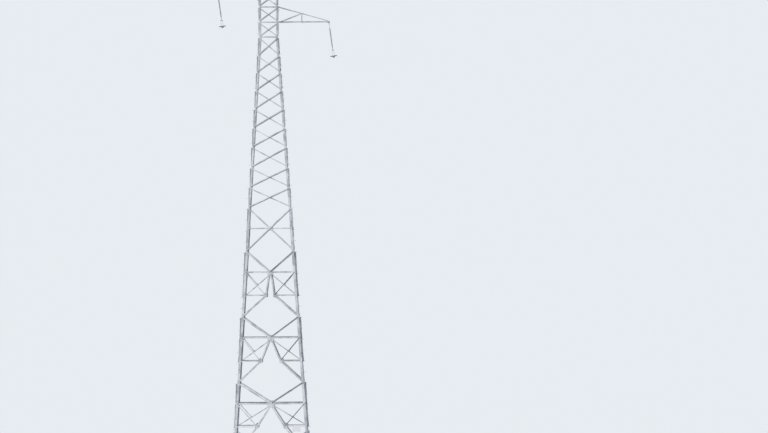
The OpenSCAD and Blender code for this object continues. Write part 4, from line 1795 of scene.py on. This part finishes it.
    def clamp(self) -> Piece:
        """U bolts of the conductor's clamp and the bolts of its ring and yoke.

        Returns:
            The piece.
        """
        shape = Shape()
        for y in self.u_places:
            taper = max(0.0, abs(y) - 0.06) / 0.09 * 0.040
            u_bolt = self.u_bolt(y, -(self.clamp_body - taper) - 0.001)
            shape.add(u_bolt, self.matrix @ shift(0, 0, -self.groove))
        ends = [(BoltSize.M12.end(), rise - self.groove) for rise in self.ring_bolts]
        ends.append((BoltSize.M16.end(nut=True), self.rod_bottom - self.yoke - self.yoke_pin_drop))
        for s in SIDES:
            for end, z in ends:
                at = shift(s * self.strap_face, 0, z) @ spin(s * math.pi / 2, "Y")
                shape.add(end, self.matrix @ at)
        return shape.piece(f"{self.name}_clamp_bolts", FIXING_STEEL, 40, f"{self.name}_string")

    def build(self) -> list[Piece]:
        """Makes all pieces of the string."""
        return [self.rod(), self.collars(), *self.pins(), self.clamp()]


# Finishes of the solids


class FinishPlan:
    """Gives every solid its finish, by the material slot in the record."""

    finishes: tuple[Finish, ...] = (STEEL, CONCRETE, RUBBER, CLAMP_ALLOY, RING_ALLOY, ENAMEL)

    def apply(self) -> None:
        """Dresses the solids."""
        by_slot = {finish.slot: finish for finish in self.finishes}
        for part in frame["record"]["subparts"]:
            node = frame["nodes"][part["node"]]
            finish = by_slot[part["material_slot"]]
            node.data.materials.clear()
            node.data.materials.append(finish.material())
            LOG.info("%s: %s", node.name, finish.name)
        LOG.info("solids dressed: %d", len(frame["nodes"]))


# Studio and camera


@dataclass(frozen=True)
class Sun:
    """A distant light, with its angles in degrees. Azimuth 0 is in front, and 90 at the right."""

    name: str
    strength: float
    colour: Colour
    azimuth: float
    elevation: float
    spread: float

    def build(self) -> bpy.types.Object:
        """Makes the light.

        Returns:
            The light.
        """
        data = bpy.data.lights.new(self.name, "SUN")
        data.energy, data.color, data.angle = self.strength, self.colour, math.radians(self.spread)
        obj = shown(bpy.data.objects.new(self.name, data))
        a, e = math.radians(self.azimuth), math.radians(self.elevation)
        back = Vector((math.sin(a) * math.cos(e), -math.cos(a) * math.cos(e), math.sin(e)))
        obj.rotation_mode = "QUATERNION"
        obj.rotation_quaternion = (-back).to_track_quat("-Z", "Y")
        return obj


@dataclass(frozen=True)
class Studio:
    """Pale floor and backdrop with soft light from the left."""

    plan: TowerPlan
    backdrop: Colour = (0.80, 0.84, 0.885)
    sky: Colour = (0.155, 0.175, 0.21)
    floor_rings: tuple[float, ...] = (96.0, 48.0, 8.0)
    floor_sides: int = 96
    suns: tuple[Sun, ...] = (
        Sun("key_sun", 3.1, (1.0, 0.985, 0.96), -40.0, 23.0, 8.0),
        Sun("fill_sun", 0.7, (0.94, 0.96, 1.0), 118.0, 24.0, 20.0))

    def world(self) -> None:
        """Sets the backdrop that the camera sees and the sky that lights the pylon."""
        world = bpy.data.worlds.new("studio_world")
        world.use_nodes = True
        graph = Graph(world.node_tree)
        path = graph.node("LightPath").outputs
        seen = graph.node("Background", {"Color": (*self.backdrop, 1.0), "Strength": 1.0})
        light = graph.node("Background", {"Color": (*self.sky, 1.0), "Strength": 1.0})
        direct = graph.maths("MAXIMUM", path["Is Camera Ray"], path["Is Glossy Ray"])
        any_seen = graph.maths("MAXIMUM", direct, path["Is Transmission Ray"])
        mixed = graph.node("MixShader", {0: any_seen, 1: light.outputs[0], 2: seen.outputs[0]})
        graph.node("OutputWorld", {"Surface": mixed.outputs[0]})
        bpy.context.scene.world = world

    def floor(self) -> bpy.types.Object:
        """Makes the floor, a disc that fades into the backdrop.

        Returns:
            The floor.
        """
        shape = Shape()
        rings = [shape.ring((r * c, r * s, 0.0) for c, s in circle(self.floor_sides))
                 for r in self.floor_rings]
        shape.skin(rings, caps=False)
        shape.faces.append(tuple(rings[-1]))
        obj = shown(bpy.data.objects.new("studio_floor", shape.mesh("studio_floor")))
        obj.location = self.plan.axis
        obj.data.materials.append(StudioFloor().material())
        return obj

    def build(self) -> None:
        """Makes the studio."""
        self.world()
        self.floor()
        for sun in self.suns:
            sun.build()
        bpy.context.scene.view_settings.view_transform = "Standard"
        LOG.info("studio: %d suns", len(self.suns))


@dataclass(frozen=True)
class PhotoCamera:
    """The camera at the photograph's place, far off, with a long lens."""

    plan: TowerPlan
    distance: float = 563.99
    height: float = 15.768
    heading: float = math.radians(-1.1864)
    roll: float = math.radians(-0.43)
    focal_pixels: float = 8044.9
    axis_pixel: float = 270.38
    horizon_pixel: float = 241.75
    pivot_pixel: float = 266.95
    image: tuple[int, int] = (768, 433)
    sensor: float = 36.0

    def build(self) -> bpy.types.Object:
        """Makes the camera and sets it as the scene's.

        Returns:
            The camera.
        """
        data = bpy.data.cameras.new("photo_camera")
        data.sensor_width = self.sensor
        data.lens = self.focal_pixels / self.image[0] * self.sensor
        data.clip_start, data.clip_end = 1.0, 5000.0
        obj = shown(bpy.data.objects.new("photo_camera", data))
        forward = Vector((math.sin(self.heading), math.cos(self.heading), 0.0))
        right = Vector((math.cos(self.heading), -math.sin(self.heading), 0.0))
        up = Vector((0.0, 0.0, 1.0))
        obj.location = self.plan.axis - forward * self.distance + up * self.height
        across, rise = self.centre_offset()
        aim = (forward * self.focal_pixels + right * across + up * rise).normalized()
        side = aim.cross(up).normalized()
        level = Matrix((side, side.cross(aim), -aim)).transposed().to_4x4()
        obj.rotation_mode = "QUATERNION"
        obj.rotation_quaternion = (level @ spin(self.roll)).to_quaternion()
        bpy.context.scene.camera = obj
        LOG.info("camera: %.1f mm lens at %.1f m", data.lens, self.distance)
        return obj

    def centre_offset(self) -> Point:
        """Where the picture's middle lies from the axis and the horizon, before the roll.

        Returns:
            Pixels to the right of the axis and above the horizon.
        """
        pivot = Vector((self.axis_pixel, self.pivot_pixel))
        middle = Vector((self.image[0] / 2, self.image[1] / 2)) - pivot
        c, s = math.cos(-self.roll), math.sin(-self.roll)
        turned = Vector((c * middle.x - s * middle.y, s * middle.x + c * middle.y)) + pivot
        return turned.x - self.axis_pixel, self.horizon_pixel - turned.y


def main() -> None:
    """Builds everything in order."""
    logging.basicConfig(level=logging.INFO, format="%(message)s", force=True)
    plan = TowerPlan()
    PhotoCamera(plan).build()
    FinishPlan().apply()
    for index in range(4):
        LowerBracingBolts(plan, index).build()
        CrossPanelBolts(plan, index).body()
        CrossPanelBolts(plan, index).head()
    for fixings in (SpliceBolts, LevelFrameBolts, StepBolts, BaseFixings):
        fixings(plan).build()
    for arm in (("lower_right", 1, 3.6, 1), ("left", -1, 2.9, 3), ("upper_right", 1, 2.85, 5)):
        ArmBolts(plan, *arm).build()
        StringFixings(plan, *arm).build()
    BeamFixings(plan).build()
    SignFixings(plan).build()
    Studio(plan).build()


if __name__ == "__main__":
    main()
